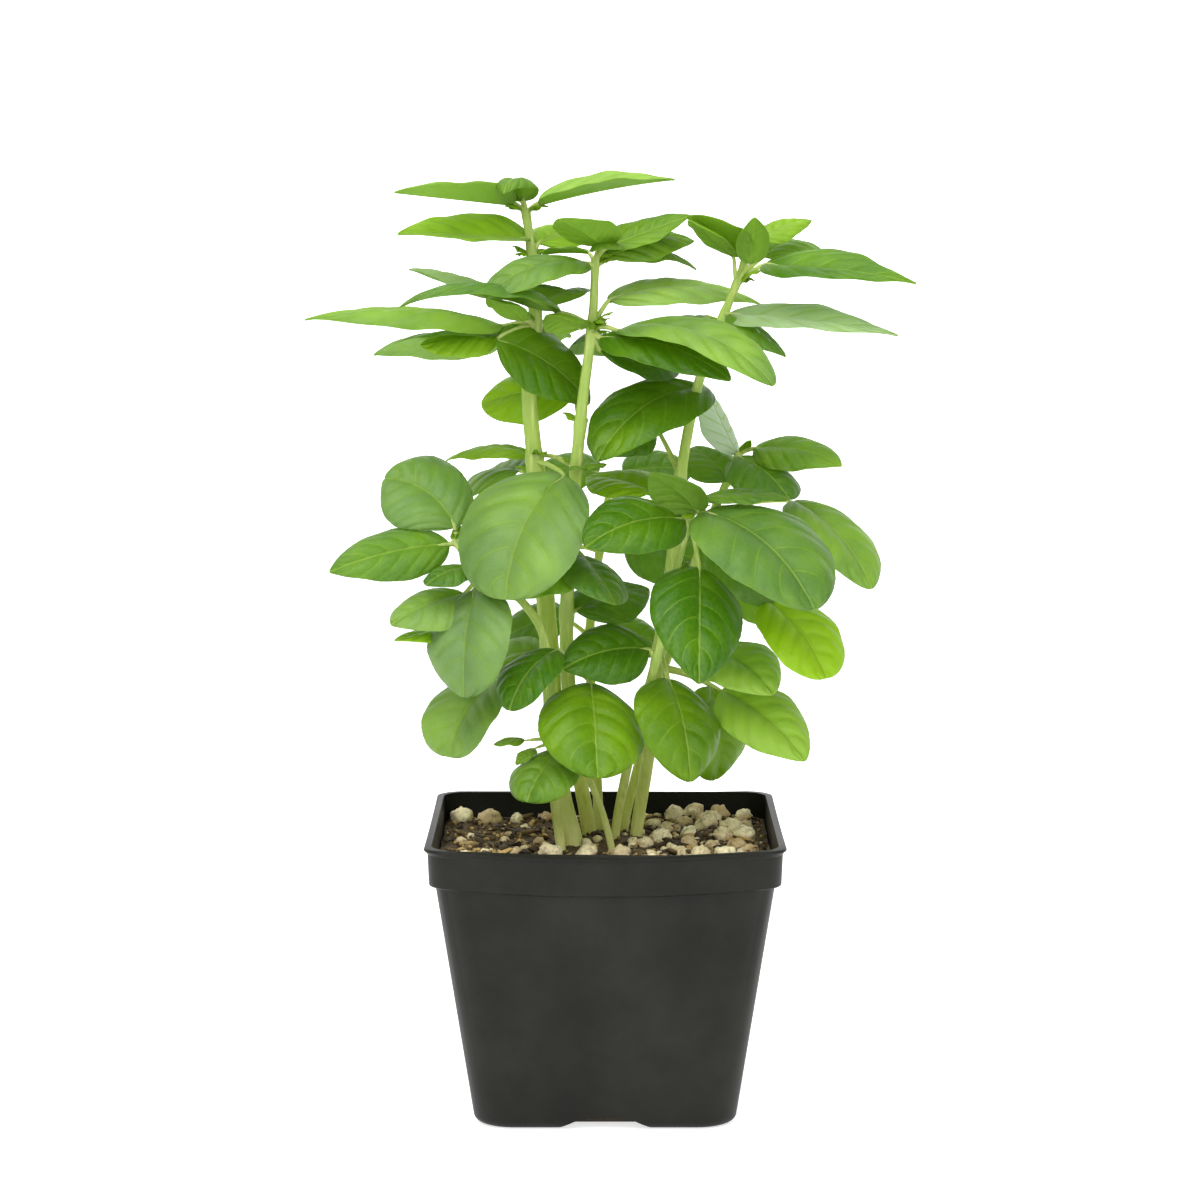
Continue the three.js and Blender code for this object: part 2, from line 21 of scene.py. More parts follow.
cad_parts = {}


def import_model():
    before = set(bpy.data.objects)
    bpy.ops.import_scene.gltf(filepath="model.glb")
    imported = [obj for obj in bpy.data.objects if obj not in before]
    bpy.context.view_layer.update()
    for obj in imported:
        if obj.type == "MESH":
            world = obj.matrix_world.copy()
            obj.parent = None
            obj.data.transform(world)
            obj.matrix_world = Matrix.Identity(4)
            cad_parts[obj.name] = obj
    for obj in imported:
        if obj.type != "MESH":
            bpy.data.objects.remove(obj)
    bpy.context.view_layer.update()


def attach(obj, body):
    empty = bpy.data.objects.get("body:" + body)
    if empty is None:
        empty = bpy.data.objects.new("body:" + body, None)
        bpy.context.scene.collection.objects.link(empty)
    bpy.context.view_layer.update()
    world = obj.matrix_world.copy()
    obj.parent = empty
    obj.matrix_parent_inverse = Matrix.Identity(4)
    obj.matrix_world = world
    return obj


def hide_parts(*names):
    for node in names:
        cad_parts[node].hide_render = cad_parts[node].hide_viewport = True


LOG = logging.getLogger("basil")
MM = 0.001
UP = np.array([0.0, 0.0, 1.0])
Colour = tuple[float, float, float]


class Slot(Enum):
    """Names of three material slots."""

    POT = "pot"
    SOIL = "soil"
    LEAF = "leaf"


class Cells(Enum):
    """What is measured in a net of cells."""

    EDGE = "DISTANCE_TO_EDGE"
    MIDDLE = "F1"


class Leaf(NamedTuple):
    """One leaf: where it leaves its stem, and how its stalk and blade lie.

    Attributes:
        height: Where its stalk leaves the stem.
        turn: Which way the stalk goes, in degrees round from +X.
        stalk: The stalk's length.
        lift: How steeply the stalk rises, in degrees.
        swing: How far the blade turns away from the stalk's way, in degrees.
        rise: How steeply the blade starts, in degrees.
        long: The blade's length along its midrib.
        wide: The blade's width.
        droop: How far the blade bends down from its start to its tip, in degrees.
        roll: How far the blade is rolled about its midrib, in degrees.
        cup: How steeply its halves fall at the margins, in degrees; they rise where it is negative.
        blunt: How round its tip is, from -1 for a slender one to 1 for a round one.
        tone: How light its green is, from 0 for the deepest to about 1; partly the leaf's own green
            and partly painted light and shade, set leaf by leaf to how brightly it is lit.
        painted_sheen: How much whitish sheen is painted into its colour, from 0 to about 1.
    """

    height: float
    turn: float
    stalk: float
    lift: float
    swing: float
    rise: float
    long: float
    wide: float
    droop: float
    roll: float
    cup: float
    blunt: float = 0.0
    tone: float = 0.5
    painted_sheen: float = 0.03


class Wire:
    """A shader socket that does sums, so that shader maths reads as Python."""

    def __init__(self, kit: "NodeKit", socket: bpy.types.NodeSocket) -> None:
        self.kit = kit
        self.socket = socket

    def _sum(self, operation: str, first: Any, second: Any = None) -> "Wire":
        """Add a Math node.

        Args:
            operation: The Math node's operation.
            first: A wire or a number.
            second: A wire, a number or nothing.

        Returns:
            The node's result.
        """
        values = {0: first} if second is None else {0: first, 1: second}
        return self.kit.node("ShaderNodeMath", {"operation": operation}, values)

    def __add__(self, other: Any) -> "Wire":
        """Sum."""
        return self._sum("ADD", self, other)

    __radd__ = __add__

    def __sub__(self, other: Any) -> "Wire":
        """Difference."""
        return self._sum("SUBTRACT", self, other)

    def __rsub__(self, other: Any) -> "Wire":
        """Difference from a number."""
        return self._sum("SUBTRACT", other, self)

    def __mul__(self, other: Any) -> "Wire":
        """Product."""
        return self._sum("MULTIPLY", self, other)

    __rmul__ = __mul__

    def __abs__(self) -> "Wire":
        """Size without its sign."""
        return self._sum("ABSOLUTE", self)

    def fraction(self) -> "Wire":
        """What is left over the whole number."""
        return self._sum("FRACT", self)

    def between(self, low: float, high: float) -> "Wire":
        """Smooth step from 0 at low to 1 at high, or down where low is the greater.

        Args:
            low: The value that gives 0.
            high: The value that gives 1.

        Returns:
            The smooth step.
        """
        return self.kit.node(
            "ShaderNodeMapRange",
            {"interpolation_type": "SMOOTHSTEP"},
            {"Value": self, "From Min": low, "From Max": high},
        )


class NodeKit:
    """Makes the nodes of one material."""

    def __init__(self, name: str) -> None:
        """Start an empty material.

        Args:
            name: The material's name.
        """
        self.material = bpy.data.materials.new(name)
        self.material.use_nodes = True
        self.tree = self.material.node_tree
        self.tree.nodes.clear()
        self.surface = self.tree.nodes.new("ShaderNodeOutputMaterial").inputs["Surface"]

    def _feed(self, socket: bpy.types.NodeSocket, value: Any) -> None:
        """Set a socket's value, or link a wire to it.

        Args:
            socket: The socket.
            value: A number, a colour, a vector or a wire.
        """
        if isinstance(value, Wire):
            self.tree.links.new(value.socket, socket)
        elif isinstance(value, tuple) and socket.type == "RGBA":
            socket.default_value = (*value, 1.0)
        else:
            socket.default_value = value

    def node(self, kind: str, settings: dict[str, Any], values: dict[Any, Any],
             output: Any = 0) -> Wire:
        """Make any node.

        Args:
            kind: The node's type.
            settings: What is set on the node first, by name.
            values: Numbers, colours or wires for its sockets, by name or number.
            output: The output that is wanted, by name or number.

        Returns:
            That output as a wire.
        """
        made = self.tree.nodes.new(kind)
        for key, value in settings.items():
            setattr(made, key, value)
        for key, value in values.items():
            self._feed(made.inputs[key], value)
        return Wire(self, made.outputs[output])

    def value_of(self, attribute: str) -> Wire:
        """The value that the mesh holds under a name."""
        return self.node("ShaderNodeAttribute", {"attribute_name": attribute}, {}, "Fac")

    def place(self) -> Wire:
        """The place on the object, in metres."""
        return self.node("ShaderNodeTexCoord", {}, {}, "Object")

    def speckle(self, scale: float, detail: float, rough: float = 0.5) -> Wire:
        """Even noise from 0 to 1.

        Args:
            scale: Waves in a metre.
            detail: Octaves.
            rough: How strong the fine octaves are.

        Returns:
            The noise.
        """
        return self.node(
            "ShaderNodeTexNoise", {},
            {"Vector": self.place(), "Scale": scale, "Detail": detail, "Roughness": rough}, "Fac")

    def cells(self, scale: float, measured: Cells) -> Wire:
        """Distance in a net of cells.

        Args:
            scale: Cells in a metre.
            measured: Whether the distance is to a cell's edge or to its middle.

        Returns:
            The distance.
        """
        return self.node("ShaderNodeTexVoronoi", {"feature": measured.value},
                         {"Vector": self.place(), "Scale": scale}, "Distance")

    def blend(self, share: Any, first: Any, second: Any) -> Wire:
        """Mix two colours.

        Args:
            share: How much of the second.
            first: A colour or wire.
            second: A colour or wire.

        Returns:
            The mixed colour.
        """
        return self.node("ShaderNodeMix", {"data_type": "RGBA"}, {0: share, 6: first, 7: second}, 2)

    def bump(self, height: Wire, deep: float, strength: float) -> Wire:
        """A bump from a height.

        Args:
            height: The height from 0 to 1.
            deep: What 1 means, in metres.
            strength: Its strength.

        Returns:
            The normal.
        """
        return self.node("ShaderNodeBump", {},
                         {"Height": height, "Distance": deep, "Strength": strength})

    def dress(self, **values: Any) -> Wire:
        """Make the main shader and show it on the surface.

        Args:
            values: What its sockets get, by name; an underscore stands for a space.

        Returns:
            The shader.
        """
        named = {key.replace("_", " "): value for key, value in values.items()}
        shader = self.node("ShaderNodeBsdfPrincipled", {}, named)
        self._feed(self.surface, shader)
        return shader

    def let_light_through(self, shader: Wire, share: float, colour: Colour) -> None:
        """Let light pass through the surface.

        Args:
            shader: The main shader.
            share: How much of the surface is translucent.
            colour: The colour that the light takes.
        """
        thin = self.node("ShaderNodeBsdfTranslucent", {}, {"Color": colour})
        self._feed(self.surface,
                   self.node("ShaderNodeMixShader", {}, {0: share, 1: shader, 2: thin}))


@dataclass(frozen=True)
class LeafFinish:
    """A smooth basil blade: pale veins in a fresh green, lighter and duller underneath, with a
    whitish sheen of reflected light painted into the colour of some leaves.
    """

    deep: Colour = (0.026, 0.108, 0.001)
    fresh: Colour = (0.310, 0.540, 0.006)
    vein: Colour = (0.400, 0.560, 0.080)
    under: Colour = (0.200, 0.370, 0.030)
    # The whitish colour of the sheen that is painted into some leaves.
    sheen_white: Colour = (0.640, 0.730, 0.600)
    through: Colour = (0.480, 0.720, 0.008)
    through_share: float = 0.36
    midrib_share: float = 0.45
    side_vein_share: float = 0.26
    net_share: float = 0.08
    under_share: float = 0.6
    rough: float = 0.27
    gloss: float = 0.33

    def make(self) -> bpy.types.Material:
        """Build the material.

        Returns:
            The material.
        """
        kit = NodeKit("leaf_blade")
        tone = kit.value_of("tone")
        rib = kit.value_of("rib")
        phase = kit.value_of("side_vein")
        under = kit.value_of("under")
        margin = kit.value_of("margin")
        painted_sheen = kit.value_of("painted_sheen")
        broad = kit.speckle(60.0, 3.0)
        fine = kit.speckle(1100.0, 3.0)
        net = kit.cells(430.0, Cells.EDGE)
        side = abs((phase + 0.5).fraction() - 0.5)
        side_line = side.between(0.05, 0.01) * margin.between(1.0, 0.6)
        # Where the side veins lie, the painted sheen is thinner.
        vein_sheen_gap = side.between(0.13, 0.03) * margin.between(1.0, 0.7)
        mid_line = rib.between(0.48, 0.12)
        net_line = net.between(0.12, 0.02)
        veins = kit.node("ShaderNodeMath", {"operation": "MAXIMUM"},
                         {0: mid_line * self.midrib_share, 1: side_line * self.side_vein_share})
        # Each leaf's tone, partly painted light and shade, sets how far its green goes from deep to
        # fresh.
        share = (tone + broad * 0.9 - 0.45).between(-0.1, 1.1)
        body = kit.blend(share, self.deep, self.fresh)
        body = kit.blend(net_line * self.net_share, body, self.vein)
        body = kit.blend(veins, body, self.vein)
        body = kit.blend(under * self.under_share, body, self.under)
        # Painted sheen: a whitish reflection of the light, as strong as each leaf asks for, mixed
        # into the colour in patches and thinner on the veins and midrib.
        patch = kit.speckle(38.0, 2.0)
        sheen_share = painted_sheen * (0.55 + patch * 0.9) * (1.0 - vein_sheen_gap * 0.45) * (1.0 - mid_line * 0.6)
        colour = kit.blend(sheen_share, body, self.sheen_white)
        height = side.between(0.0, 0.35) * 0.8 + net.between(0.0, 0.3) * 0.15 + fine * 0.08 \
            - mid_line * 0.6
        shader = kit.dress(
            Base_Color=colour,
            Roughness=self.rough + fine * 0.08 + patch * 0.24 + under * 0.2,
            Specular_IOR_Level=self.gloss,
            Normal=kit.bump(height, 0.0005, 0.7),
        )
        kit.let_light_through(shader, self.through_share, self.through)
        return kit.material


@dataclass(frozen=True)
class StemFinish:
    """A juicy green stem, paler towards the soil, with a soft shine."""

    green: Colour = (0.340, 0.520, 0.095)
    pale: Colour = (0.940, 0.950, 0.400)
    through: Colour = (0.760, 0.820, 0.180)
    through_share: float = 0.36
    streaks: float = 900.0
    stretch: tuple[float, float, float] = (1.0, 1.0, 0.08)

    def make(self) -> bpy.types.Material:
        """Build the material.

        Returns:
            The material.
        """
        kit = NodeKit("stem_skin")
        pale = kit.value_of("pale")
        streak = kit.node(
            "ShaderNodeTexNoise", {},
            {"Vector": kit.node("ShaderNodeMapping", {},
                                {"Vector": kit.place(), "Scale": self.stretch}),
             "Scale": self.streaks, "Detail": 2.0}, "Fac")
        mottle = kit.speckle(160.0, 2.0)
        share = (pale + mottle * 0.5 - 0.25).between(0.0, 1.0)
        colour = kit.blend(share, self.green, self.pale)
        colour = kit.blend(streak.between(0.5, 0.75) * 0.5, colour, self.pale)
        colour = kit.blend(streak.between(0.48, 0.28) * 0.45, colour, self.green)
        shader = kit.dress(
            Base_Color=colour,
            Roughness=0.38 + streak * 0.15,
            Normal=kit.bump(streak, 0.0002, 0.6),
        )
        kit.let_light_through(shader, self.through_share, self.through)
        return kit.material


@dataclass(frozen=True)
class PotFinish:
    """Thin black moulded plastic, satin, with a little dust from the mix."""

    black: Colour = (0.0065, 0.0065, 0.0050)
    worn: Colour = (0.0160, 0.0160, 0.0125)
    dust: Colour = (0.120, 0.095, 0.055)
    dust_share: float = 0.75
    gloss: float = 0.15

    def make(self) -> bpy.types.Material:
        """Build the material.

        Returns:
            The material.
        """
        kit = NodeKit("pot_plastic")
        cloud = kit.speckle(28.0, 4.0, 0.6)
        grain = kit.speckle(1600.0, 2.0)
        inner = kit.value_of("inner")
        flecks = kit.speckle(420.0, 4.0, 0.7)
        colour = kit.blend(cloud.between(0.3, 0.8), self.black, self.worn)
        dirt = inner * flecks.between(0.5, 0.68) * self.dust_share
        colour = kit.blend(dirt, colour, self.dust)
        kit.dress(
            Base_Color=colour,
            Roughness=0.42 + cloud * 0.10 + dirt * 0.35,
            Specular_IOR_Level=self.gloss,
            Normal=kit.bump(grain, 0.00006, 0.5),
        )
        return kit.material


@dataclass(frozen=True)
class GroundFinish:
    """Damp dark potting mix between the stones; where the tone is 0, on the sides and bottom, it is
    all the dark colour as painted shade.
    """

    dark: Colour = (0.018, 0.010, 0.003)
    brown: Colour = (0.200, 0.125, 0.036)

    def make(self) -> bpy.types.Material:
        """Build the material.

        Returns:
            The material.
        """
        kit = NodeKit("potting_mix")
        tone = kit.value_of("tone")
        crumbs = kit.cells(420.0, Cells.MIDDLE)
        broad = kit.speckle(130.0, 4.0, 0.65)
        fine = kit.speckle(1300.0, 3.0, 0.7)
        # Tone 0 on the sides and bottom paints them all dark: painted shade where they show through
        # the pot's drain holes.
        colour = kit.blend((broad * 0.7 + fine * 0.6 - 0.3).between(0.05, 0.75) * tone,
                           self.dark, self.brown)
        kit.dress(
            Base_Color=colour,
            Roughness=0.72 + fine * 0.2,
            Normal=kit.bump(fine * 0.6 - crumbs * 0.8, 0.0014, 1.0),
        )
        return kit.material


@dataclass(frozen=True)
class StoneFinish:
    """Stones and bark bits, each with its own tone."""

    name: str
    dull: Colour
    light: Colour
    stain: float = 0.0
    earth: Colour = (0.110, 0.066, 0.022)
    earth_share: float = 0.45

    def make(self) -> bpy.types.Material:
        """Build the material.

        Returns:
            The material.
        """
        kit = NodeKit(self.name)
        tone = kit.value_of("tone")
        broad = kit.speckle(300.0, 4.0, 0.6)
        patch = kit.speckle(520.0, 3.0, 0.7)
        fine = kit.speckle(2200.0, 3.0, 0.7)
        colour = kit.blend((tone * 0.9 + broad * 0.7 - 0.35).between(0.0, 1.0),
                           self.dull, self.light)
        colour = kit.blend(patch.between(0.5, 0.68) * self.stain, colour, self.earth)
        colour = kit.blend(fine.between(0.58, 0.8) * self.earth_share, colour, self.earth)
        kit.dress(
            Base_Color=colour,
            Roughness=0.66 + fine * 0.25,
            Normal=kit.bump(fine * 0.5 + broad * 0.5, 0.0006, 0.9),
        )
        return kit.material


@dataclass(frozen=True)
class FloorFinish:
    """A plain white studio sweep, lit a little from behind so that it stays white."""

    white: Colour = (0.80, 0.80, 0.80)
    shade: Colour = (0.78, 0.78, 0.78)
    shade_share: float = 0.02
    glow: float = 0.7

    def make(self) -> bpy.types.Material:
        """Build the material.

        Returns:
            The material.
        """
        kit = NodeKit("studio_sweep")
        tint = kit.speckle(3.0, 1.0)
        kit.dress(
            Base_Color=kit.blend(tint * self.shade_share, self.white, self.shade),
            Roughness=0.9,
            Emission_Color=(1.0, 1.0, 1.0),
            Emission_Strength=self.glow,
        )
        return kit.material


@dataclass
class Skin:
    """Points, faces and values that are gathered for one piece."""

    points: list[np.ndarray] = field(default_factory=list)
    faces: list[list[int]] = field(default_factory=list)
    values: dict[str, list[np.ndarray]] = field(default_factory=dict)
    count: int = 0

    def add(self, points: np.ndarray, faces: Sequence[Sequence[int]],
            values: dict[str, Any]) -> None:
        """Add a patch.

        Args:
            points: Its points, one row each.
            faces: Its faces, numbered from its own first point.
            values: A number, or one for each point, by name.
        """
        total = len(points)
        self.points.append(points)
        start = self.count
        self.faces.extend([[start + k for k in face] for face in faces])
        for key, value in values.items():
            self.values.setdefault(key, []).append(np.broadcast_to(value, (total,)).astype(float))
        self.count += total

    def rings(self, rings: np.ndarray, values: dict[str, Any]) -> None:
        """Add a closed skin over rings that each have the same number of points.

        Args:
            rings: The rings, as an array of rings by points by three.
            values: A number, or one for each point, by name.
        """
        rows, sides, _ = rings.shape
        faces: list[list[int]] = []
        for i in range(rows - 1):
            for j in range(sides):
                k = (j + 1) % sides
                faces.append([i * sides + j, i * sides + k,
                              (i + 1) * sides + k, (i + 1) * sides + j])
        faces.append(list(range(sides - 1, -1, -1)))
        faces.append([(rows - 1) * sides + j for j in range(sides)])
        self.add(rings.reshape(-1, 3), faces, values)

    def build(self, name: str, sharp: float) -> bpy.types.Object:
        """Make the object.

        Args:
            name: The piece's name.
            sharp: The angle from which an edge is drawn sharp, in degrees.

        Returns:
            The object, in metres.
        """
        mesh = bpy.data.meshes.new(name)
        mesh.from_pydata((np.vstack(self.points) * MM).tolist(), [], self.faces)
        for key, parts in self.values.items():
            made = mesh.attributes.new(key, "FLOAT", "POINT")
            made.data.foreach_set("value", np.concatenate(parts).astype(np.float32))
        mesh.shade_smooth()
        mesh.set_sharp_from_angle(angle=math.radians(sharp))
        piece = bpy.data.objects.new(name, mesh)
        bpy.context.scene.collection.objects.link(piece)
        return piece


def settle(piece: bpy.types.Object, node: str, finish: bpy.types.Material) -> None:
    """Give a piece its finish, and say which node it stands for.

    Args:
        piece: The piece.
        node: The node that it replaces.
        finish: Its material.
    """
    piece.data.materials.clear()
    piece.data.materials.append(finish)
    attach(piece, "root")
    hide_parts(node)
    LOG.info("%s: %d faces for %s", piece.name, len(piece.data.polygons), node)


def heading(turn: float) -> tuple[np.ndarray, np.ndarray]:
    """Directions on the level.

    Args:
        turn: Degrees round from +X.

    Returns:
        The way out, and the way to its right.
    """
    angle = math.radians(turn)
    out = np.array([math.cos(angle), math.sin(angle), 0.0])
    return out, np.array([math.sin(angle), -math.cos(angle), 0.0])


def unit(vector: np.ndarray) -> np.ndarray:
    """The same direction, one long."""
    return vector / max(float(np.linalg.norm(vector)), 1e-9)


class Course:
    """A smooth course through points, with each bend eased by the distance between them."""

    def __init__(self, points: Sequence[Sequence[float]], steps: int = 400) -> None:
        """Sample the course.

        Args:
            points: The points that it passes.
            steps: How many samples are kept.
        """
        knots = [np.array(p, dtype=float) for p in points]
        self.knots = [2 * knots[0] - knots[1], *knots, 2 * knots[-1] - knots[-2]]
        self.line = np.array([self.at_knot(t) for t in np.linspace(0, len(knots) - 1, steps)])
        gaps = np.linalg.norm(np.diff(self.line, axis=0), axis=1)
        self.length = float(gaps.sum())
        self.share = np.concatenate([[0.0], np.cumsum(gaps)]) / self.length

    def at_knot(self, t: float) -> np.ndarray:
        """The point at a knot number.

        Args:
            t: The knot number, with a fraction.

        Returns:
            The point.
        """
        i = min(int(t), len(self.knots) - 4)
        w = t - i
        a, b, c, d = self.knots[i:i + 4]
        gap0, gap1, gap2 = (max(float(((p - q) ** 2).sum()) ** 0.25, 1e-4)
                            for p, q in ((a, b), (b, c), (c, d)))
        first = ((b - a) / gap0 - (c - a) / (gap0 + gap1) + (c - b) / gap1) * gap1
        second = ((c - b) / gap1 - (d - b) / (gap1 + gap2) + (d - c) / gap2) * gap1
        square = 3 * (c - b) - 2 * first - second
        cube = 2 * (b - c) + first + second
        return b + first * w + square * w * w + cube * w ** 3

    def at(self, share: float) -> np.ndarray:
        """The point at a share of the length."""
        return np.array([np.interp(share, self.share, self.line[:, k]) for k in range(3)])

    def at_height(self, z: float) -> tuple[np.ndarray, float]:
        """Where the course reaches a height.

        Args:
            z: The height.

        Returns:
            The point and its share of the length.
        """
        k = int(np.clip(np.searchsorted(self.line[:, 2], z), 1, len(self.line) - 1))
        low, high = self.line[k - 1], self.line[k]
        w = float(np.clip((z - low[2]) / max(high[2] - low[2], 1e-9), 0, 1))
        share = self.share[k - 1] + w * (self.share[k] - self.share[k - 1])
        return low + (high - low) * w, float(share)

    def tube(self, shares: np.ndarray, radii: np.ndarray, outline: np.ndarray) -> np.ndarray:
        """Rings across the course.

        Args:
            shares: Where the rings are, as shares of the length.
            radii: Each ring's radius.
            outline: The section's angle and reach, point by point.

        Returns:
            The rings.
        """
        rings = []
        for share, radius in zip(shares, radii):
            along = unit(self.at(min(share + 0.01, 1)) - self.at(max(share - 0.01, 0)))
            side = unit(np.array([1.0, 0, 0]) - along * along[0])
            back = np.cross(along, side)
            centre = self.at(share)
            rings.append([centre + radius * reach * (math.cos(a) * side + math.sin(a) * back)
                          for a, reach in outline])
        return np.array(rings)


@dataclass
class Blade:
    """One leaf blade as a thin closed skin with veins, quilted fields and a toothed margin.

    Over the blade, "station" runs from 0 at its base to 1 at its tip, and "across" from -1 at one
    margin to 1 at the other.

    Attributes:
        leaf: How the leaf lies.
        base: Where the blade starts.
        tone: How light its green is, partly painted light and shade.
        seed: The seed of its own unevenness.
        painted_sheen: How much whitish sheen is painted into its colour.
        thick: Its thickness between the veins.
        bulge: How high each half swells, as a share of the half's width.
        lean: How far the tip may bend sideways, as a share of the length.
        tooth: How far the teeth stand out, as a share of the half's width.
        teeth: How many teeth a margin has.
        vein_pairs: How many pairs of side veins there are.
        quilt: How high the fields between the side veins swell.
        groove: How deep the midrib lies in the upper face.
        rib: How far the midrib stands out underneath.
        ridge: How far the side veins stand out underneath.
        wave: How high the margins wave.
        waves: How fast they do along the blade.
        frill: How high the finer frill at the margins is.
        frills: How fast it goes along the blade.
    """

    leaf: Leaf
    base: np.ndarray
    tone: float
    seed: int
    painted_sheen: float = 0.0
    thick: float = 0.34
    bulge: float = 0.12
    lean: float = 0.035
    tooth: float = 0.022
    teeth: float = 15.0
    vein_pairs: float = 5.5
    quilt: float = 0.34
    groove: float = 0.3
    rib: float = 0.55
    ridge: float = 0.12
    wave: float = 0.5
    waves: float = 9.0
    frill: float = 0.26
    frills: float = 23.0

    def size(self) -> float:
        """How strong the blade's relief is, by its length."""
        return min(self.leaf.long / 45, 1.1)

    def grid(self) -> tuple[int, int]:
        """How fine the blade's mesh is.

        Returns:
            Rows along the blade and columns across, by its length.
        """
        if self.leaf.long > 30:
            return 46, 21
        if self.leaf.long > 15:
            return 30, 15
        return 14, 9

    def half_width(self, s: np.ndarray) -> np.ndarray:
        """Half the width along the midrib.

        Args:
            s: The stations.

        Returns:
            The half width at each.
        """
        root = 0.52
        tip = 1.15 - 0.45 * (self.leaf.wide / self.leaf.long) - 0.3 * self.leaf.blunt
        most = (root / (root + tip)) ** root * (tip / (root + tip)) ** tip
        return self.leaf.wide / 2 * s ** root * (1 - s) ** tip / most

    def midrib(self, s: np.ndarray) -> tuple[np.ndarray, np.ndarray]:
        """How far the midrib has gone, as a share of the blade's length.

        Args:
            s: The stations.

        Returns:
            The way outward and the way upward at each.
        """
        start, bend = math.radians(self.leaf.rise), math.radians(self.leaf.droop)
        if abs(bend) < 1e-3:
            return math.cos(start) * s, math.sin(start) * s
        ahead = (math.sin(start) - np.sin(start - bend * s)) / bend
        above = (np.cos(start - bend * s) - math.cos(start)) / bend
        return ahead, above

    def frame(self, s: np.ndarray, lean: float) -> tuple[np.ndarray, np.ndarray, np.ndarray]:
        """The midrib's course and the directions that the blade is laid out along.

        Args:
            s: The stations.
            lean: How far the midrib bends to the right.

        Returns:
            The midrib's points, the way to the right and the way up from the blade at each.
        """
        leaf = self.leaf
        out, right = heading(leaf.turn + leaf.swing)
        ahead, above = self.midrib(s)
        centre = (self.base[None, :] + leaf.long * (ahead[:, None] * out + above[:, None] * UP)
                  + (lean * s ** 2 * (1.6 - s))[:, None] * right)
        slope = np.radians(leaf.rise - leaf.droop * s)
        up = -np.sin(slope)[:, None] * out + np.cos(slope)[:, None] * UP
        roll = math.radians(leaf.roll)
        side = right * math.cos(roll) + up * math.sin(roll)
        normal = up * math.cos(roll) - right * math.sin(roll)
        return centre, side, normal

    def relief(self, station: np.ndarray, across: np.ndarray, phase: np.ndarray,
               shift: float) -> np.ndarray:
        """How the upper face swells between the side veins and waves towards the margin.

        Args:
            station: The station of each point.
            across: Each point's place across.
            phase: Each point's place between the side veins.
            shift: Where the frill at the margin starts.

        Returns:
            The height of each point.
        """
        big, reach = self.size(), np.abs(across)
        middle = np.sin(np.pi * station)
        fields = np.sin(np.pi * phase) ** 2 - 0.5
        quilt = self.quilt * big * fields * self.inside(reach) * middle ** 0.4
        ripple = self.wave * across ** 2 * np.sin(self.waves * station + self.leaf.turn) * middle
        frills = np.sin(self.frills * station + 5 * across + shift)
        return quilt + ripple + self.frill * big * reach ** 4 * frills * middle

    def inside(self, reach: np.ndarray) -> np.ndarray:
        """How far each point is from both the midrib and the margin, from 0 to 1."""
        return np.sin(np.pi * np.clip(reach * 0.96, 0, 1)) ** 0.8

    def skin(self, into: Skin) -> None:
        """Add the blade to a skin.

        Args:
            into: The skin of the stem's leaves.
        """
        rows, columns = self.grid()
        t = np.linspace(0, 1, rows)
        s = 0.004 + 0.99 * (0.55 * t + 0.45 * (0.5 - 0.5 * np.cos(np.pi * t)))
        c = np.linspace(-1, 1, columns)
        c = np.sign(c) * np.abs(c) ** 1.12
        station, across = np.meshgrid(s, c, indexing="ij")
        reach = np.abs(across)
        big = self.size()
        draw = random.Random(self.seed)
        centre, side, normal = self.frame(s, draw.uniform(-self.lean, self.lean) * self.leaf.long)
        half = self.half_width(s)[:, None]
        cup = math.radians(self.leaf.cup)
        saw = np.abs(((station * self.teeth + draw.random()) % 1) - 0.62)
        x = half * np.sin(cup * across) / cup * (1 + self.tooth * reach ** 6 * saw)
        drop = half * (1 - np.cos(cup * across)) / cup
        phase = self.vein_pairs * (station - 0.16 * reach - 0.16 * reach ** 2) \
            + 0.35 * (across > 0) + 0.13 * draw.random()
        millimetres = np.abs(x)
        groove = -self.groove * big * np.exp(-(millimetres / 0.75) ** 2) * (1 - 0.6 * station)
        height = self.bulge * half * np.sin(np.pi * reach) - drop + groove \
            + self.relief(station, across, phase, draw.random() * 6)
        rib = self.rib * big * np.exp(-(millimetres / 0.7) ** 2) * (1 - 0.7 * station)
        ridges = self.ridge * big * np.clip(1 - 7 * np.abs(((phase + 0.5) % 1) - 0.5), 0, 1) \
            * self.inside(reach)
        depth = self.thick * (0.55 + 0.45 * np.clip((1 - reach) * 6, 0, 1)) + rib + ridges
        place = centre[:, None, :] + side[:, None, :] * x[..., None]
        top = place + normal[:, None, :] * height[..., None]
        low = place + normal[:, None, :] * (height - depth)[..., None]

        def both(upper: np.ndarray, lower: np.ndarray) -> np.ndarray:
            """The same order as the rings, as one row."""
            return np.concatenate([upper, lower[:, ::-1]], axis=1).ravel()

        blank = np.zeros_like(station)
        values = {
            "tone": self.tone,
            "painted_sheen": self.painted_sheen,
            "rib": both(millimetres, millimetres),
            "side_vein": both(phase, phase),
            "margin": both(reach, reach),
            "under": both(blank, blank + 1),
        }
        into.rings(np.concatenate([top, low[:, ::-1, :]], axis=1), values)


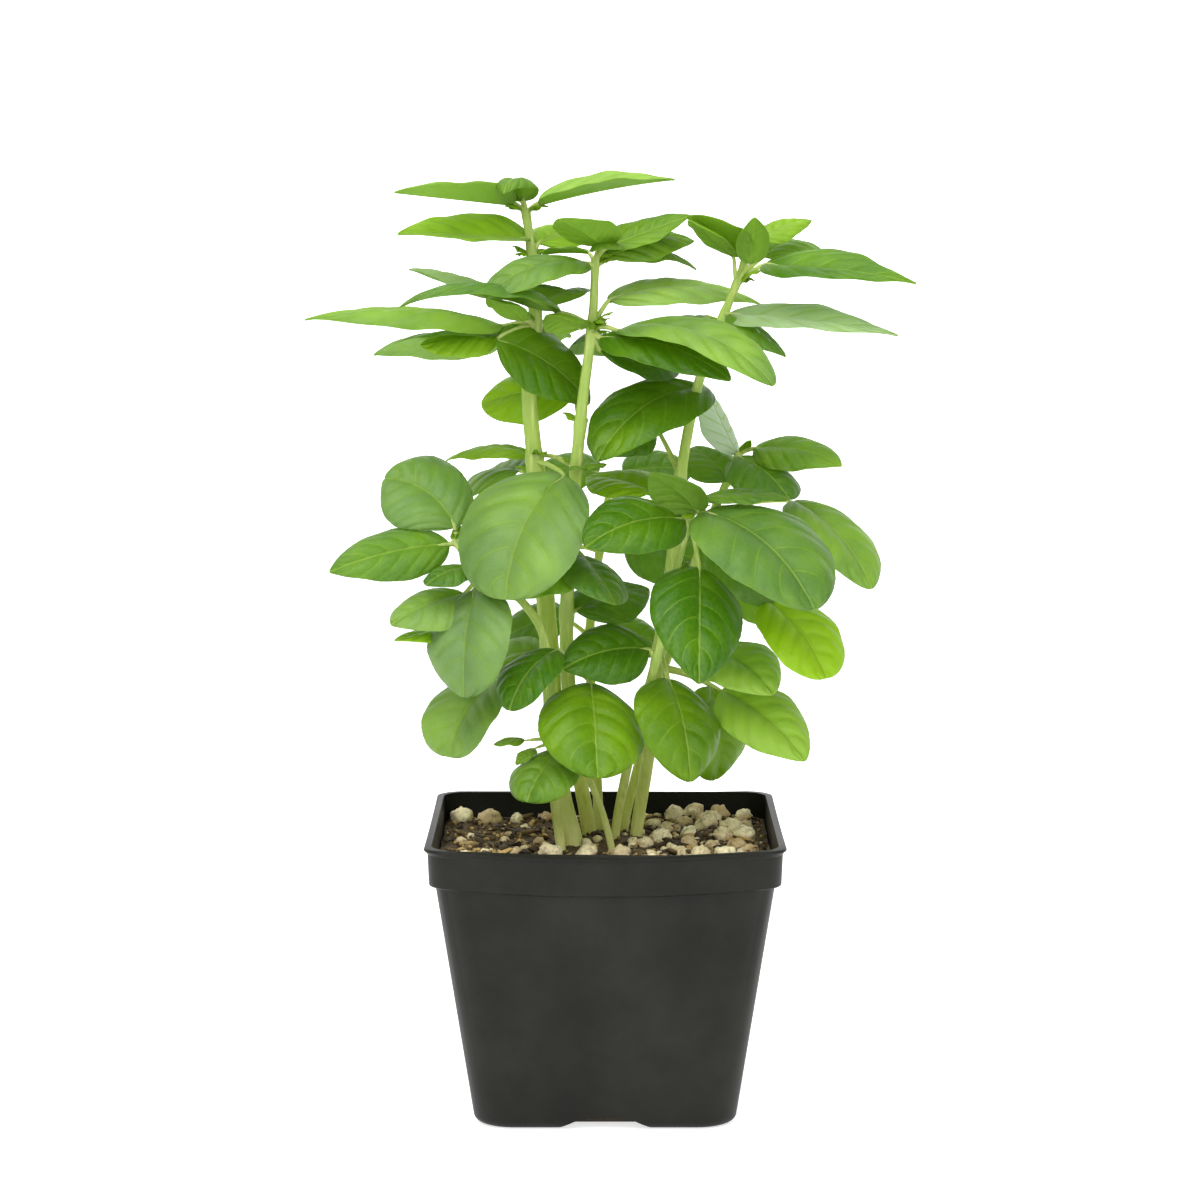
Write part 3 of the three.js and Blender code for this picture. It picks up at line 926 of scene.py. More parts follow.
@dataclass
class LeafyStem:
    """A stem with its leaves: one piece for the stem and stalks, one for the blades.

    Attributes:
        name: The node that it stands for.
        path: The points that the stem passes.
        radius: Its radius at the root and at the tip, before it is made fuller.
        leaves: Its leaves.
        sides: How many points a ring of the stem has.
        stations: How many rings the stem has.
        fuller: What the radii are multiplied by.
        swell: How much thicker the stem is at a pair of leaves, as a share.
        swell_reach: How far along the stem that is seen.
        pale_below: The height under which the skin turns pale.
        pale_over: How far down it has turned pale altogether.
        stalk_root: A stalk's radius near the stem.
        stalk_tip: A stalk's radius near the blade.
        small_leaf: The blade length under which a stalk is thinner.
        bud_from: The height from which young leaves sit over the stalks.
        bud_stalk: The shortest stalk that has them.
        bud_leaf: The shortest blade that has them.
    """

    name: str
    path: Sequence[tuple[float, float, float]]
    radius: tuple[float, float]
    leaves: list[Leaf]
    sides: int = 20
    stations: int = 90
    fuller: float = 1.08
    swell: float = 0.22
    swell_reach: float = 2.2
    pale_below: float = 127.0
    pale_over: float = 55.0
    stalk_root: float = 0.95
    stalk_tip: float = 0.7
    small_leaf: float = 24.0
    bud_from: float = 152.0
    bud_stalk: float = 5.0
    bud_leaf: float = 28.0

    def outline(self) -> np.ndarray:
        """The stem's section: square with round corners and hollow sides.

        Returns:
            The angle and reach of each point.
        """
        angles = np.linspace(0, 2 * np.pi, self.sides, endpoint=False)
        reach = 1.0 + 0.10 * np.cos(4 * (angles - np.pi / 4)) - 0.05 * np.cos(8 * angles)
        return np.stack([angles, reach], axis=1)

    def main_stem(self, course: Course, into: Skin) -> None:
        """Add the stem, which swells a little at every pair of leaves.

        Args:
            course: The stem's course.
            into: The skin to add to.
        """
        shares = np.linspace(0, 1, self.stations)
        root, tip = self.radius
        radii = self.fuller * (root + (tip - root) * shares ** 3)
        joints = [course.at_height(leaf.height)[1] * course.length for leaf in self.leaves]
        gain = np.zeros_like(shares)
        for joint in set(round(j, 1) for j in joints):
            away = (shares * course.length - joint) / self.swell_reach
            gain = np.maximum(gain, np.exp(-away ** 2))
        rings = course.tube(shares, radii * (1 + self.swell * gain), self.outline())
        below = (self.pale_below - rings[..., 2].ravel()) / self.pale_over
        into.rings(rings, {"pale": np.clip(below, 0, 1) * 0.8 + 0.2})

    def stalk(self, leaf: Leaf, root: np.ndarray, base: np.ndarray, into: Skin) -> None:
        """Add one stalk, from inside the stem to under the blade.

        Args:
            leaf: The leaf.
            root: The point on the stem's course.
            base: Where the blade starts.
            into: The skin to add to.
        """
        out, _ = heading(leaf.turn + leaf.swing)
        middle = root + (base - root) * 0.55 + UP * 0.06 * leaf.stalk
        start = math.radians(leaf.rise)
        ahead = base + leaf.long * 0.1 * (out * math.cos(start) + UP * math.sin(start))
        course = Course([root, middle, base, ahead], 60)
        girth = 0.8 if leaf.long < self.small_leaf else 1.0
        shares = np.linspace(0, 1, 14)
        radii = girth * np.interp(shares, [0, 0.12, 0.75, 1],
                                  [1.25, self.stalk_root, self.stalk_tip, 0.12])
        angles = np.linspace(0, 2 * np.pi, 10, endpoint=False)
        rings = []
        for share, radius in zip(shares, radii):
            along = unit(course.at(min(share + 0.02, 1)) - course.at(max(share - 0.02, 0)))
            level = unit(np.array([along[1], -along[0], 1e-6]))
            above = np.cross(level, along)
            centre = course.at(share) - above * (0.25 * share)
            rings.append([centre + radius * (math.cos(a) * above * (0.8 if math.cos(a) > 0 else 1)
                                             + math.sin(a) * level) for a in angles])
        into.rings(np.array(rings), {"pale": 0.35})

    def buds(self, course: Course, blades: Skin, seed: int) -> None:
        """Add the tiny young leaves that sit over each stalk.

        Args:
            course: The stem's course.
            blades: The skin of the leaves.
            seed: The seed of their sizes.
        """
        draw = random.Random(seed)
        for leaf in self.leaves:
            low = leaf.height < self.bud_from
            if low or leaf.stalk < self.bud_stalk or leaf.long < self.bud_leaf:
                continue
            root, _ = course.at_height(leaf.height + 1.0)
            for swing in (-38, 32):
                size = draw.uniform(5.0, 8.5)
                young = Leaf(leaf.height, leaf.turn, 0, 0, swing + draw.uniform(-15, 15),
                             draw.uniform(25, 60), size, size * 0.5, 50, 0, 50)
                out, _ = heading(young.turn)
                Blade(young, root + out * self.radius[1] * 0.9, draw.uniform(0.5, 0.9),
                      draw.randrange(9999)).skin(blades)

    def build(self, finishes: dict[str, bpy.types.Material], seed: int) -> None:
        """Build and dress the stem's two pieces.

        Args:
            finishes: The materials by name.
            seed: The seed of the leaves' own tones.
        """
        draw = random.Random(seed)
        course = Course(self.path)
        stalks, blades = Skin(), Skin()
        self.main_stem(course, stalks)
        for number, leaf in enumerate(self.leaves):
            root, _ = course.at_height(leaf.height)
            out, _ = heading(leaf.turn)
            lift = math.radians(leaf.lift)
            base = root + leaf.stalk * (out * math.cos(lift) + UP * math.sin(lift))
            self.stalk(leaf, root, base, stalks)
            tone = leaf.tone + draw.uniform(-0.06, 0.06)
            Blade(leaf, base, tone, seed * 100 + number, leaf.painted_sheen).skin(blades)
        self.buds(course, blades, seed + 7)
        stem = stalks.build(f"{self.name}_stalks", 60)
        settle(stem, self.name, finishes["stem"])
        leaves = blades.build(f"{self.name}_blades", 60)
        settle(leaves, self.name, finishes["leaf"])


# Every stem's name, the points that it passes, its radius at root and tip, and its leaves. Each
# leaf's tone is partly painted light and shade.
# Some leaves carry a painted whitish sheen.
PLANT: tuple[LeafyStem, ...] = (
    LeafyStem("left_tall_stem", (
        (-8, 1, 60), (-10, 1, 82), (-14, 3, 98), (-18, 7, 148), (-22, 7, 201), (-24, 7, 228),
        (-22, 8, 249), (-23, 8, 268), (-25, 8, 283),
    ), (3, 1.2), [
        Leaf(282, 195, 5, 40, 15, 5, 42, 20, 0, -10, -50, tone=0.75, painted_sheen=0.1),
        Leaf(282, -10, 5, 40, 5, 15, 44, 20, 10, -10, -45, blunt=-0.5, tone=0.75, painted_sheen=0.1),
        Leaf(283, 250, 3, 70, 0, 75, 22, 15, 135, 0, 40, tone=0.3),
        Leaf(283, 160, 3, 65, 10, 60, 15, 12, 110, 0, 45),
        Leaf(268, 195, 6, 85, 0, 5, 43, 21, 5, 25, -35, tone=0.75),
        Leaf(268, 30, 5, 65, 20, 30, 30, 20, 60, -15, 25, tone=0.95),
        Leaf(252, 170, 11, 25, -15, 20, 35, 19, 15, -15, 35, painted_sheen=0.2),
        Leaf(247, 200, 11, 0, 0, 15, 65, 26, 25, 5, 40, tone=0.45, painted_sheen=0.06),
        Leaf(247, 185, 11, -15, -5, 0, 26, 23, 15, 20, 30, tone=0.85),
        Leaf(247, 220, 16, -15, 150, -15, 37, 29, 40, -45, 10, tone=0.15, painted_sheen=0.0),
        Leaf(245, 170, 12, -20, 5, 10, 41, 26, 30, -20, 20, tone=0.65, painted_sheen=0.16),
        Leaf(246, 85, 9, 10, 10, 0, 42, 26, 25, 0, 40),
        Leaf(204, 300, 19, -10, -70, -20, 49, 42, 65, 15, 5, blunt=1, tone=0.38, painted_sheen=0.11),
        Leaf(199, 115, 12, 5, 0, 5, 38, 30, 30, 20, 30, tone=0.3),
        Leaf(141, 190, 18, -20, 30, -20, 32, 31, 60, 5, -10, blunt=1, tone=0.4, painted_sheen=0.11),
        Leaf(141, 125, 10, 5, 20, 0, 32, 26, 40, 30, 25),
        Leaf(252, 310, 2, 10, -5, 40, 21, 24, 50, 5, -10, blunt=0.3, tone=0.15, painted_sheen=0.0),
        Leaf(246, 255, 12, 15, -15, 30, 24, 11, 25, -5, 25, blunt=0.3, tone=0.4),
    ]),
    LeafyStem("middle_tall_stem", (
        (-4, 17, 60), (-5, 16, 82), (-9, 9, 108), (-12, 2, 140), (-12, -1, 161),
        (-11, -2, 177), (-9, -4, 203), (-7, -6, 224), (-4, -8, 248), (-3, -9, 268),
    ), (2.2, 1.1), [
        Leaf(266, 205, 3, 15, 10, 10, 40, 25, 50, 10, 15, blunt=0.5, tone=0.3, painted_sheen=0.06),
        Leaf(267, 25, 5, 60, -15, 20, 30, 17, 0, -25, -10, tone=0.3, painted_sheen=0.0),
        Leaf(267, 145, 4, 50, 20, 5, 15, 14, 15, -5, -20),
        Leaf(268, 305, 7, 35, -70, 25, 26, 20, 10, -10, -10, tone=0.45),
        Leaf(268, 290, 4, 60, 10, 25, 14, 12, 50, 0, 40),
        Leaf(266, 20, 5, 40, 10, 30, 33, 18, 45, -25, 35, blunt=0.3, tone=0.4),
        Leaf(266, 40, 9, 15, -5, 20, 33, 13, 55, -10, 40),
        Leaf(247, 195, 12, 25, 20, 30, 60, 23, 55, 0, 25, tone=0.05),
        Leaf(248, 200, 4, -20, 20, 30, 15, 16, 25, -15, 40),
        Leaf(247, 330, 10, -5, -5, 15, 62, 28, 60, -10, 5, blunt=0.9, tone=0.38, painted_sheen=0.07),
        Leaf(247, 25, 10, 55, -5, 20, 54, 24, 45, -15, 20, tone=0.7, painted_sheen=0.18),
        Leaf(245, 300, 6, -10, 30, 5, 48, 24, 40, -20, 15, blunt=0.5, tone=0.05, painted_sheen=0.0),
        Leaf(244, 50, 6, -45, -20, -5, 30, 24, 20, -20, 30, blunt=0.3, tone=0.05, painted_sheen=0.0),
        Leaf(244, 75, 10, 0, 5, 0, 42, 26, 25, 0, 40, tone=0.1),
        Leaf(216, 95, 25, 20, 70, 10, 32, 23, 35, 45, 25, blunt=1, tone=0.9, painted_sheen=0.0),
        Leaf(203, 125, 25, 5, 35, 20, 31, 16, 50, 5, 35, tone=0.6),
        Leaf(203, 275, 2, -5, 5, 15, 8, 7, 20, 0, 30),
        Leaf(203, 0, 2, 10, -40, 15, 10, 8, 20, 0, 30),
        Leaf(168, 285, 13, 25, -80, -5, 30, 28, 25, 15, 15, tone=0.35),
        Leaf(177, 300, 8, -10, -5, -15, 28, 26, 25, 15, 30, tone=0.1),
        Leaf(156, 340, 3, 25, 55, 25, 30, 26, 30, -20, 30, tone=0.1),
        Leaf(140, 260, 20, 20, -40, -15, 27, 23, 55, 5, 5, blunt=0.7, tone=0.0, painted_sheen=0.0),
        Leaf(139, 295, 18, -10, -20, -30, 37, 35, 30, 10, 25, blunt=0.5, tone=0.33, painted_sheen=0.0),
    ]),
    LeafyStem("right_tall_stem", (
        (9, 16, 60), (10, 14, 82), (14, 10, 110), (17, 6, 143), (21, 2, 172), (24, -2, 202),
        (30, -4, 232), (38, -5, 253), (42, -5, 263), (44, -5, 269),
    ), (1.9, 1), [
        Leaf(260, 10, 11, 35, -45, 0, 55, 24, 10, -20, -10, blunt=-1, tone=0.2, painted_sheen=0.0),
        Leaf(260, 235, 9, 80, -10, 35, 23, 15, 10, 10, 10),
        Leaf(267, 250, 3, 30, -40, 45, 23, 23, 20, -5, -15),
        Leaf(267, 15, 8, 60, 20, 30, 23, 13, 30, -20, 30, tone=0.6),
        Leaf(260, 45, 15, 35, 5, 30, 34, 17, 60, -10, 40, tone=0.4),
        Leaf(249, 35, 3, 35, -65, 0, 59, 25, 10, -15, -5, blunt=-0.8, tone=0.45, painted_sheen=0.4),
        Leaf(251, 300, 3, 0, 30, -20, 24, 18, 25, 5, 40, tone=0.25),
        Leaf(248, 120, 9, 10, 0, 0, 38, 24, 25, 0, 40, tone=0.15),
        Leaf(224, 70, 12, 15, 150, 5, 52, 33, 60, 15, 10, blunt=0.5, tone=0.2, painted_sheen=0.0),
        Leaf(223, 110, 6, 0, 30, 0, 26, 20, 30, 0, 30),
        Leaf(200, 140, 20, 55, 70, 0, 24, 25, 45, 25, 30, tone=0.0, painted_sheen=0.0),
        Leaf(199, 155, 10, -25, -10, 20, 26, 24, 25, 15, 15, tone=0.8, painted_sheen=0.0),
        Leaf(143, 280, 18, -20, 10, -30, 37, 32, 55, 15, 20, blunt=0.2, tone=0.38, painted_sheen=0.0),
        Leaf(143, 330, 17, 5, -10, 5, 31, 27, 55, -20, 15, tone=1.3, painted_sheen=0.12),
        Leaf(139, 350, 22, -20, -25, -15, 38, 27, 35, -25, 15, blunt=0.2, tone=1.1, painted_sheen=0.1),
        Leaf(138, 10, 19, -20, -75, -50, 32, 29, 70, 20, 5, blunt=0.4, tone=0.45, painted_sheen=0.0),
        Leaf(261, 305, 9, 40, -35, 60, 23, 11, 40, -5, 35, blunt=0.3),
    ]),
    LeafyStem("left_low_stem", (
        (-13, -7, 62), (-14, -6, 82), (-16, -8, 99), (-19, -9, 149), (-25, -10, 160),
        (-38, -8, 171), (-48, -6, 180),
    ), (1.5, 0.9), [
        Leaf(179, 45, 5, 90, 110, 65, 31, 31, 70, 40, 20, blunt=1, tone=0.3, painted_sheen=0.12),
        Leaf(179, 195, 2, 0, 10, 0, 41, 20, 20, 50, 30, blunt=0.3, tone=0.15),
        Leaf(179, 300, 10, -40, -75, 0, 18, 15, 30, 10, 30, blunt=0.3, tone=0.1),
        Leaf(170, 235, 8, -35, 20, -35, 37, 32, 65, -20, 15, blunt=0.6, tone=0.22, painted_sheen=0.13),
        Leaf(170, 175, 10, -40, 40, -5, 28, 24, 25, 20, 35, tone=0.6, painted_sheen=0.12),
        Leaf(170, 170, 21, -55, 45, -5, 21, 14, 5, 5, 30, tone=1.0),
    ]),
    LeafyStem("right_front_stem", (
        (2, 8, 62), (3, 6, 82), (7, -2, 107), (16, -10, 143), (23, -16, 175), (27, -20, 191),
    ), (1.4, 0.9), [
        Leaf(190, 205, 3, -35, 10, 10, 39, 26, 40, 35, 15, blunt=0.4, tone=0.0, painted_sheen=0.0),
        Leaf(190, 345, 4, 5, -25, -5, 53, 45, 55, -10, 5, blunt=0.6, tone=0.25, painted_sheen=0.06),
        Leaf(190, 300, 4, 10, -85, 50, 23, 19, 30, -25, 30, tone=0.1),
        Leaf(190, 25, 6, 45, -25, 15, 27, 15, 30, -10, 20, tone=0.3),
        Leaf(188, 295, 16, -65, -25, -35, 44, 31, 25, 20, 20, tone=0.0, painted_sheen=0.0),
        Leaf(188, 40, 3, -25, -25, -35, 38, 29, 20, -45, 20, blunt=0.3, tone=0.3),
        Leaf(170, 10, 30, -15, -50, -25, 34, 30, 40, -10, 5, blunt=0.9, tone=0.95, painted_sheen=0.0),
        Leaf(143, 200, 4, 55, 0, 10, 30, 24, 40, 45, 25, tone=0.0, painted_sheen=0.0),
    ]),
    LeafyStem("right_back_stem", (
        (5, 24, 60), (6, 24, 82), (11, 26, 104), (20, 26, 139), (29, 24, 170), (38, 22, 194),
        (43, 20, 206),
    ), (1.5, 0.9), [
        Leaf(205, 320, 7, 20, 5, 10, 33, 21, 35, -25, 25, tone=0.4),
        Leaf(205, 270, 7, 0, 40, -10, 27, 26, 35, -5, 30, blunt=0.5, tone=0.1),
        Leaf(205, 90, 4, -5, 60, 60, 26, 19, 0, 0, 40, blunt=0.4, tone=0.6, painted_sheen=1.05),
        Leaf(186, 340, 27, 10, -20, -15, 42, 33, 50, 0, 10, blunt=0.5, tone=0.45, painted_sheen=0.07),
        Leaf(188, 160, 10, 120, -30, 35, 20, 21, 10, 10, 20, blunt=0.3, tone=0.2),
        Leaf(162, 10, 12, 10, 0, -5, 34, 28, 40, -45, 25),
        Leaf(139, 45, 9, 20, 10, 5, 26, 22, 30, -30, 25),
    ]),
    LeafyStem("back_stem", (
        (-2, 29, 60), (-2, 30, 82), (-3, 34, 105), (-5, 38, 144), (-2, 40, 170),
        (2, 40, 196),
    ), (1.6, 0.9), [
        Leaf(195, 20, 5, 30, -10, 15, 24, 22, 30, -40, 25, tone=0.1),
        Leaf(195, 160, 5, 30, 0, 15, 26, 22, 40, 35, 25, tone=0.15),
        Leaf(174, 345, 8, 10, 0, 0, 32, 26, 35, -45, 25, tone=0.0),
        Leaf(172, 180, 8, 10, 5, 0, 34, 28, 40, 40, 25, tone=0.1),
        Leaf(144, 15, 6, 10, 0, 5, 22, 20, 40, -40, 25, tone=0.1),
        Leaf(144, 170, 10, 35, 0, 0, 26, 25, 45, 40, 25, tone=0.05),
    ]),
    LeafyStem("small_seedling", (
        (3, -3, 64), (2, -4, 82), (-6, -10, 107), (-13, -14, 118),
    ), (1.1, 0.8), [
        Leaf(117, 260, 4, -25, -25, -10, 25, 24, 50, 5, 30, blunt=0.8, tone=0.4),
        Leaf(117, 185, 13, 5, 0, 5, 10, 9, 25, 5, 20),
        Leaf(117, 205, 11, -5, 20, -15, 9, 7, 30, 0, 20),
    ]),
)


@dataclass
class NurseryPot:
    """The thin square pot with its lip, band, tapered body, crossing channels and drains.

    A half width goes from the pot's middle line to a flat side. The dips are how far the rim sinks
    between two corners, at the front and at the other sides. The tools that cut the channels reach
    beyond the pot's sides.
    """

    height: float = 90.0
    lip_half: float = 55.5
    lip_thick: float = 1.2
    band_half_top: float = 54.4
    band_half_low: float = 54.0
    band_height: float = 12.0
    body_half_top: float = 52.2
    body_half_low: float = 41.2
    bottom_round: float = 3.0
    rim_corner: float = 8.5
    foot_corner: float = 12.0
    wall: float = 1.2
    channel_half: float = 14.5
    channel_height: float = 3.8
    drain_radius: float = 4.0
    drain_out: float = 27.0
    beyond: float = 65.0
    front_dip: float = 2.2
    other_dip: float = 0.5
    corner_steps: int = 14
    side_steps: int = 12

    def dip(self, x: float, y: float, z: float) -> float:
        """How far a side sinks near the rim, where the thin wall sags between two corners.

        Args:
            x: The point's place across.
            y: The point's place in depth.
            z: The point's height before it sinks.

        Returns:
            The dip.
        """
        if z < self.height / 2:
            return 0.0
        span = self.lip_half - self.rim_corner
        bow_x, bow_y = (max(1 - (v / span) ** 2, 0.0) for v in (x, y))
        return bow_x * (self.front_dip if y < 0 else self.other_dip) + bow_y * self.other_dip

    def ring(self, half: float, corner: float, z: float) -> list[list[float]]:
        """A square ring with round corners, whose sides dip near the rim.

        Args:
            half: Half its width.
            corner: Its corner radius.
            z: Its height at the corners.

        Returns:
            The points, counter-clockwise from above.
        """
        arcs = []
        for quarter in range(4):
            x0 = (half - corner) * (1 if quarter in (0, 3) else -1)
            y0 = (half - corner) * (1 if quarter < 2 else -1)
            angles = np.radians(90 * quarter + np.linspace(0, 90, self.corner_steps + 1))
            arcs.append([(x0 + corner * math.cos(a), y0 + corner * math.sin(a)) for a in angles])
        points = []
        for arc, following in zip(arcs, arcs[1:] + arcs[:1]):
            points.extend(arc)
            points.extend(np.linspace(arc[-1], following[0], self.side_steps + 1)[1:-1])
        return [[float(x), float(y), z - self.dip(x, y, z)] for x, y in points]

    def loft(self, name: str, profile: Sequence[tuple[float, float, float]],
             inner: float = 0.0) -> bpy.types.Object:
        """A closed solid over square rings.

        Args:
            name: The object's name.
            profile: Half width, corner radius and height of each ring.
            inner: The value that marks the inside.

        Returns:
            The solid.
        """
        skin = Skin()
        rings = np.array([self.ring(half, corner, z) for half, corner, z in profile])
        skin.rings(rings, {"inner": inner})
        return skin.build(name, 30)

    def arch(self, margin: float, turned: bool) -> bpy.types.Object:
        """A long bar with the stepped arch of the channel as its section.

        Args:
            margin: How far it is grown.
            turned: Whether it runs along X instead of Y.

        Returns:
            The bar.
        """
        half, top = self.channel_half + 1.4 * margin, self.channel_height + margin
        low = max(margin, 0.0)
        section = [(-half, -2.0), (half, -2.0), (half, low), (half * 0.62, top * 0.7),
                   (half * 0.35, top), (-half * 0.35, top), (-half * 0.62, top * 0.7), (-half, low)]
        rings = [[[end, u, v] if turned else [u, end, v] for u, v in section]
                 for end in (self.beyond, -self.beyond)]
        skin = Skin()
        skin.rings(np.array(rings), {"inner": 0.0})
        bar = skin.build("channel_bar", 30)
        work = bmesh.new()
        work.from_mesh(bar.data)
        bmesh.ops.recalc_face_normals(work, faces=work.faces)
        work.to_mesh(bar.data)
        work.free()
        return bar

    def drain(self, x: float, y: float) -> bpy.types.Object:
        """A rod that cuts one drain hole.

        Args:
            x: The hole's place across.
            y: The hole's place in depth.

        Returns:
            The rod.
        """
        angles = np.linspace(0, 2 * np.pi, 28, endpoint=False)
        rings = [[[x + self.drain_radius * math.cos(a), y + self.drain_radius * math.sin(a), z]
                  for a in angles] for z in (-4.0, 8.0)]
        skin = Skin()
        skin.rings(np.array(rings), {"inner": 0.0})
        return skin.build("drain", 30)

    def cut(self, body: bpy.types.Object, tool: bpy.types.Object) -> None:
        """Cut one solid by another.

        Args:
            body: The solid that is cut.
            tool: The solid that cuts it, which is used up.
        """
        change = body.modifiers.new("cut", "BOOLEAN")
        change.operation = "DIFFERENCE"
        change.solver = "EXACT"
        change.object = tool
        shape = bpy.context.evaluated_depsgraph_get()
        mesh = bpy.data.meshes.new_from_object(body.evaluated_get(shape))
        body.modifiers.clear()
        old = body.data
        body.data = mesh
        bpy.data.meshes.remove(old)
        bpy.data.objects.remove(tool)

    def outside_profile(self) -> list[tuple[float, float, float]]:
        """The rings of the pot's outside, from its rounded foot to the lip's upper edge.

        Returns:
            Half width, corner radius and height of each.
        """
        band_z = self.height - self.band_height
        lip_z = self.height - self.lip_thick
        low, rounding = self.body_half_low, self.bottom_round
        foot = [(low - rounding + rounding * math.sin(a), self.foot_corner - 2 + 2 * math.sin(a),
                 rounding * (1 - math.cos(a))) for a in np.linspace(0, math.pi / 2, 7)]
        band = [
            (self.body_half_top - 0.12, self.rim_corner + 0.8, band_z - 1.0),
            (self.body_half_top + 0.1, self.rim_corner + 0.7, band_z - 0.6),
            (self.band_half_low - 0.35, self.rim_corner, band_z - 0.15),
            (self.band_half_low - 0.05, self.rim_corner, band_z + 0.1),
            (self.band_half_low + 0.03, self.rim_corner, band_z + 0.5),
            (self.band_half_top, self.rim_corner, lip_z - 1.1),
        ]
        lip = [
            (self.band_half_top + 0.35, self.rim_corner, lip_z - 0.5),
            (self.lip_half - 0.35, self.rim_corner, lip_z - 0.05),
            (self.lip_half - 0.06, self.rim_corner, lip_z + 0.2),
            (self.lip_half, self.rim_corner, lip_z + 0.6),
            (self.lip_half - 0.15, self.rim_corner, self.height - 0.15),
            (self.lip_half - 0.5, self.rim_corner, self.height),
        ]
        return foot + band + lip

    def inside_profile(self, top: float) -> list[tuple[float, float, float]]:
        """The rings of the pot's inside.

        Args:
            top: The height of the last ring.

        Returns:
            Half width, corner radius and height of each.
        """
        wall, band_z = self.wall, self.height - self.band_height
        flare = (self.band_half_top - self.band_half_low) * (top - band_z - 1) / self.band_height
        return [
            (self.body_half_low - 2 * wall - 0.6, self.foot_corner - wall, wall),
            (self.body_half_low - 1.4 * wall, self.foot_corner - wall, wall + 0.9),
            (self.body_half_low - wall, self.foot_corner - wall, wall + self.bottom_round),
            (self.body_half_top - wall, self.rim_corner, band_z - 1.2),
            (self.body_half_top - wall + 0.25, self.rim_corner, band_z - 0.5),
            (self.band_half_low - wall - 0.2, self.rim_corner - 0.6, band_z + 0.5),
            (self.band_half_low - wall, self.rim_corner - 0.6, band_z + 1.2),
            (self.band_half_low - wall + flare, self.rim_corner - 0.6, top),
        ]

    def build(self, finish: bpy.types.Material) -> None:
        """Build and dress the pot.

        Args:
            finish: The plastic.
        """
        body = self.loft("pot_shell", self.outside_profile())
        inside = self.loft("pot_inside", self.inside_profile(self.height + 1.0), 1.0)
        for turned in (False, True):
            self.cut(inside, self.arch(self.wall, turned))
        self.cut(body, inside)
        for turned in (False, True):
            self.cut(body, self.arch(0.0, turned))
        out = self.drain_out
        for x, y in ((0, 0), (out, 0), (-out, 0), (0, out), (0, -out)):
            self.cut(body, self.drain(x, y))
        body.data.shade_smooth()
        body.data.set_sharp_from_angle(angle=math.radians(28))
        settle(body, "pot", finish)


@dataclass(frozen=True)
class Litter:
    """One kind of loose bit that is strewn over the ground.

    Attributes:
        tries: How many bits are tried; one that falls on a stem is left out.
        sizes: The smallest and the greatest size across.
        lift: How far a bit's middle lies over the ground, as a share of its size.
        widths: The least and the greatest width, as a share of its size.
        heights: The least and the greatest height, as a share of its size.
        lightest: The tone of the lightest bit, from 0 to 1.
        darker: The power that makes most bits dark, or 1 for none.
        fine: How often a bit's ball is divided.
        stray: How many bits are kept outside the stony side, from 0 to 1.
    """

    tries: int
    sizes: tuple[float, float]
    lift: float
    widths: tuple[float, float]
    heights: tuple[float, float]
    lightest: float = 1.0
    darker: float = 1.0
    fine: int = 2
    stray: float = 1.0


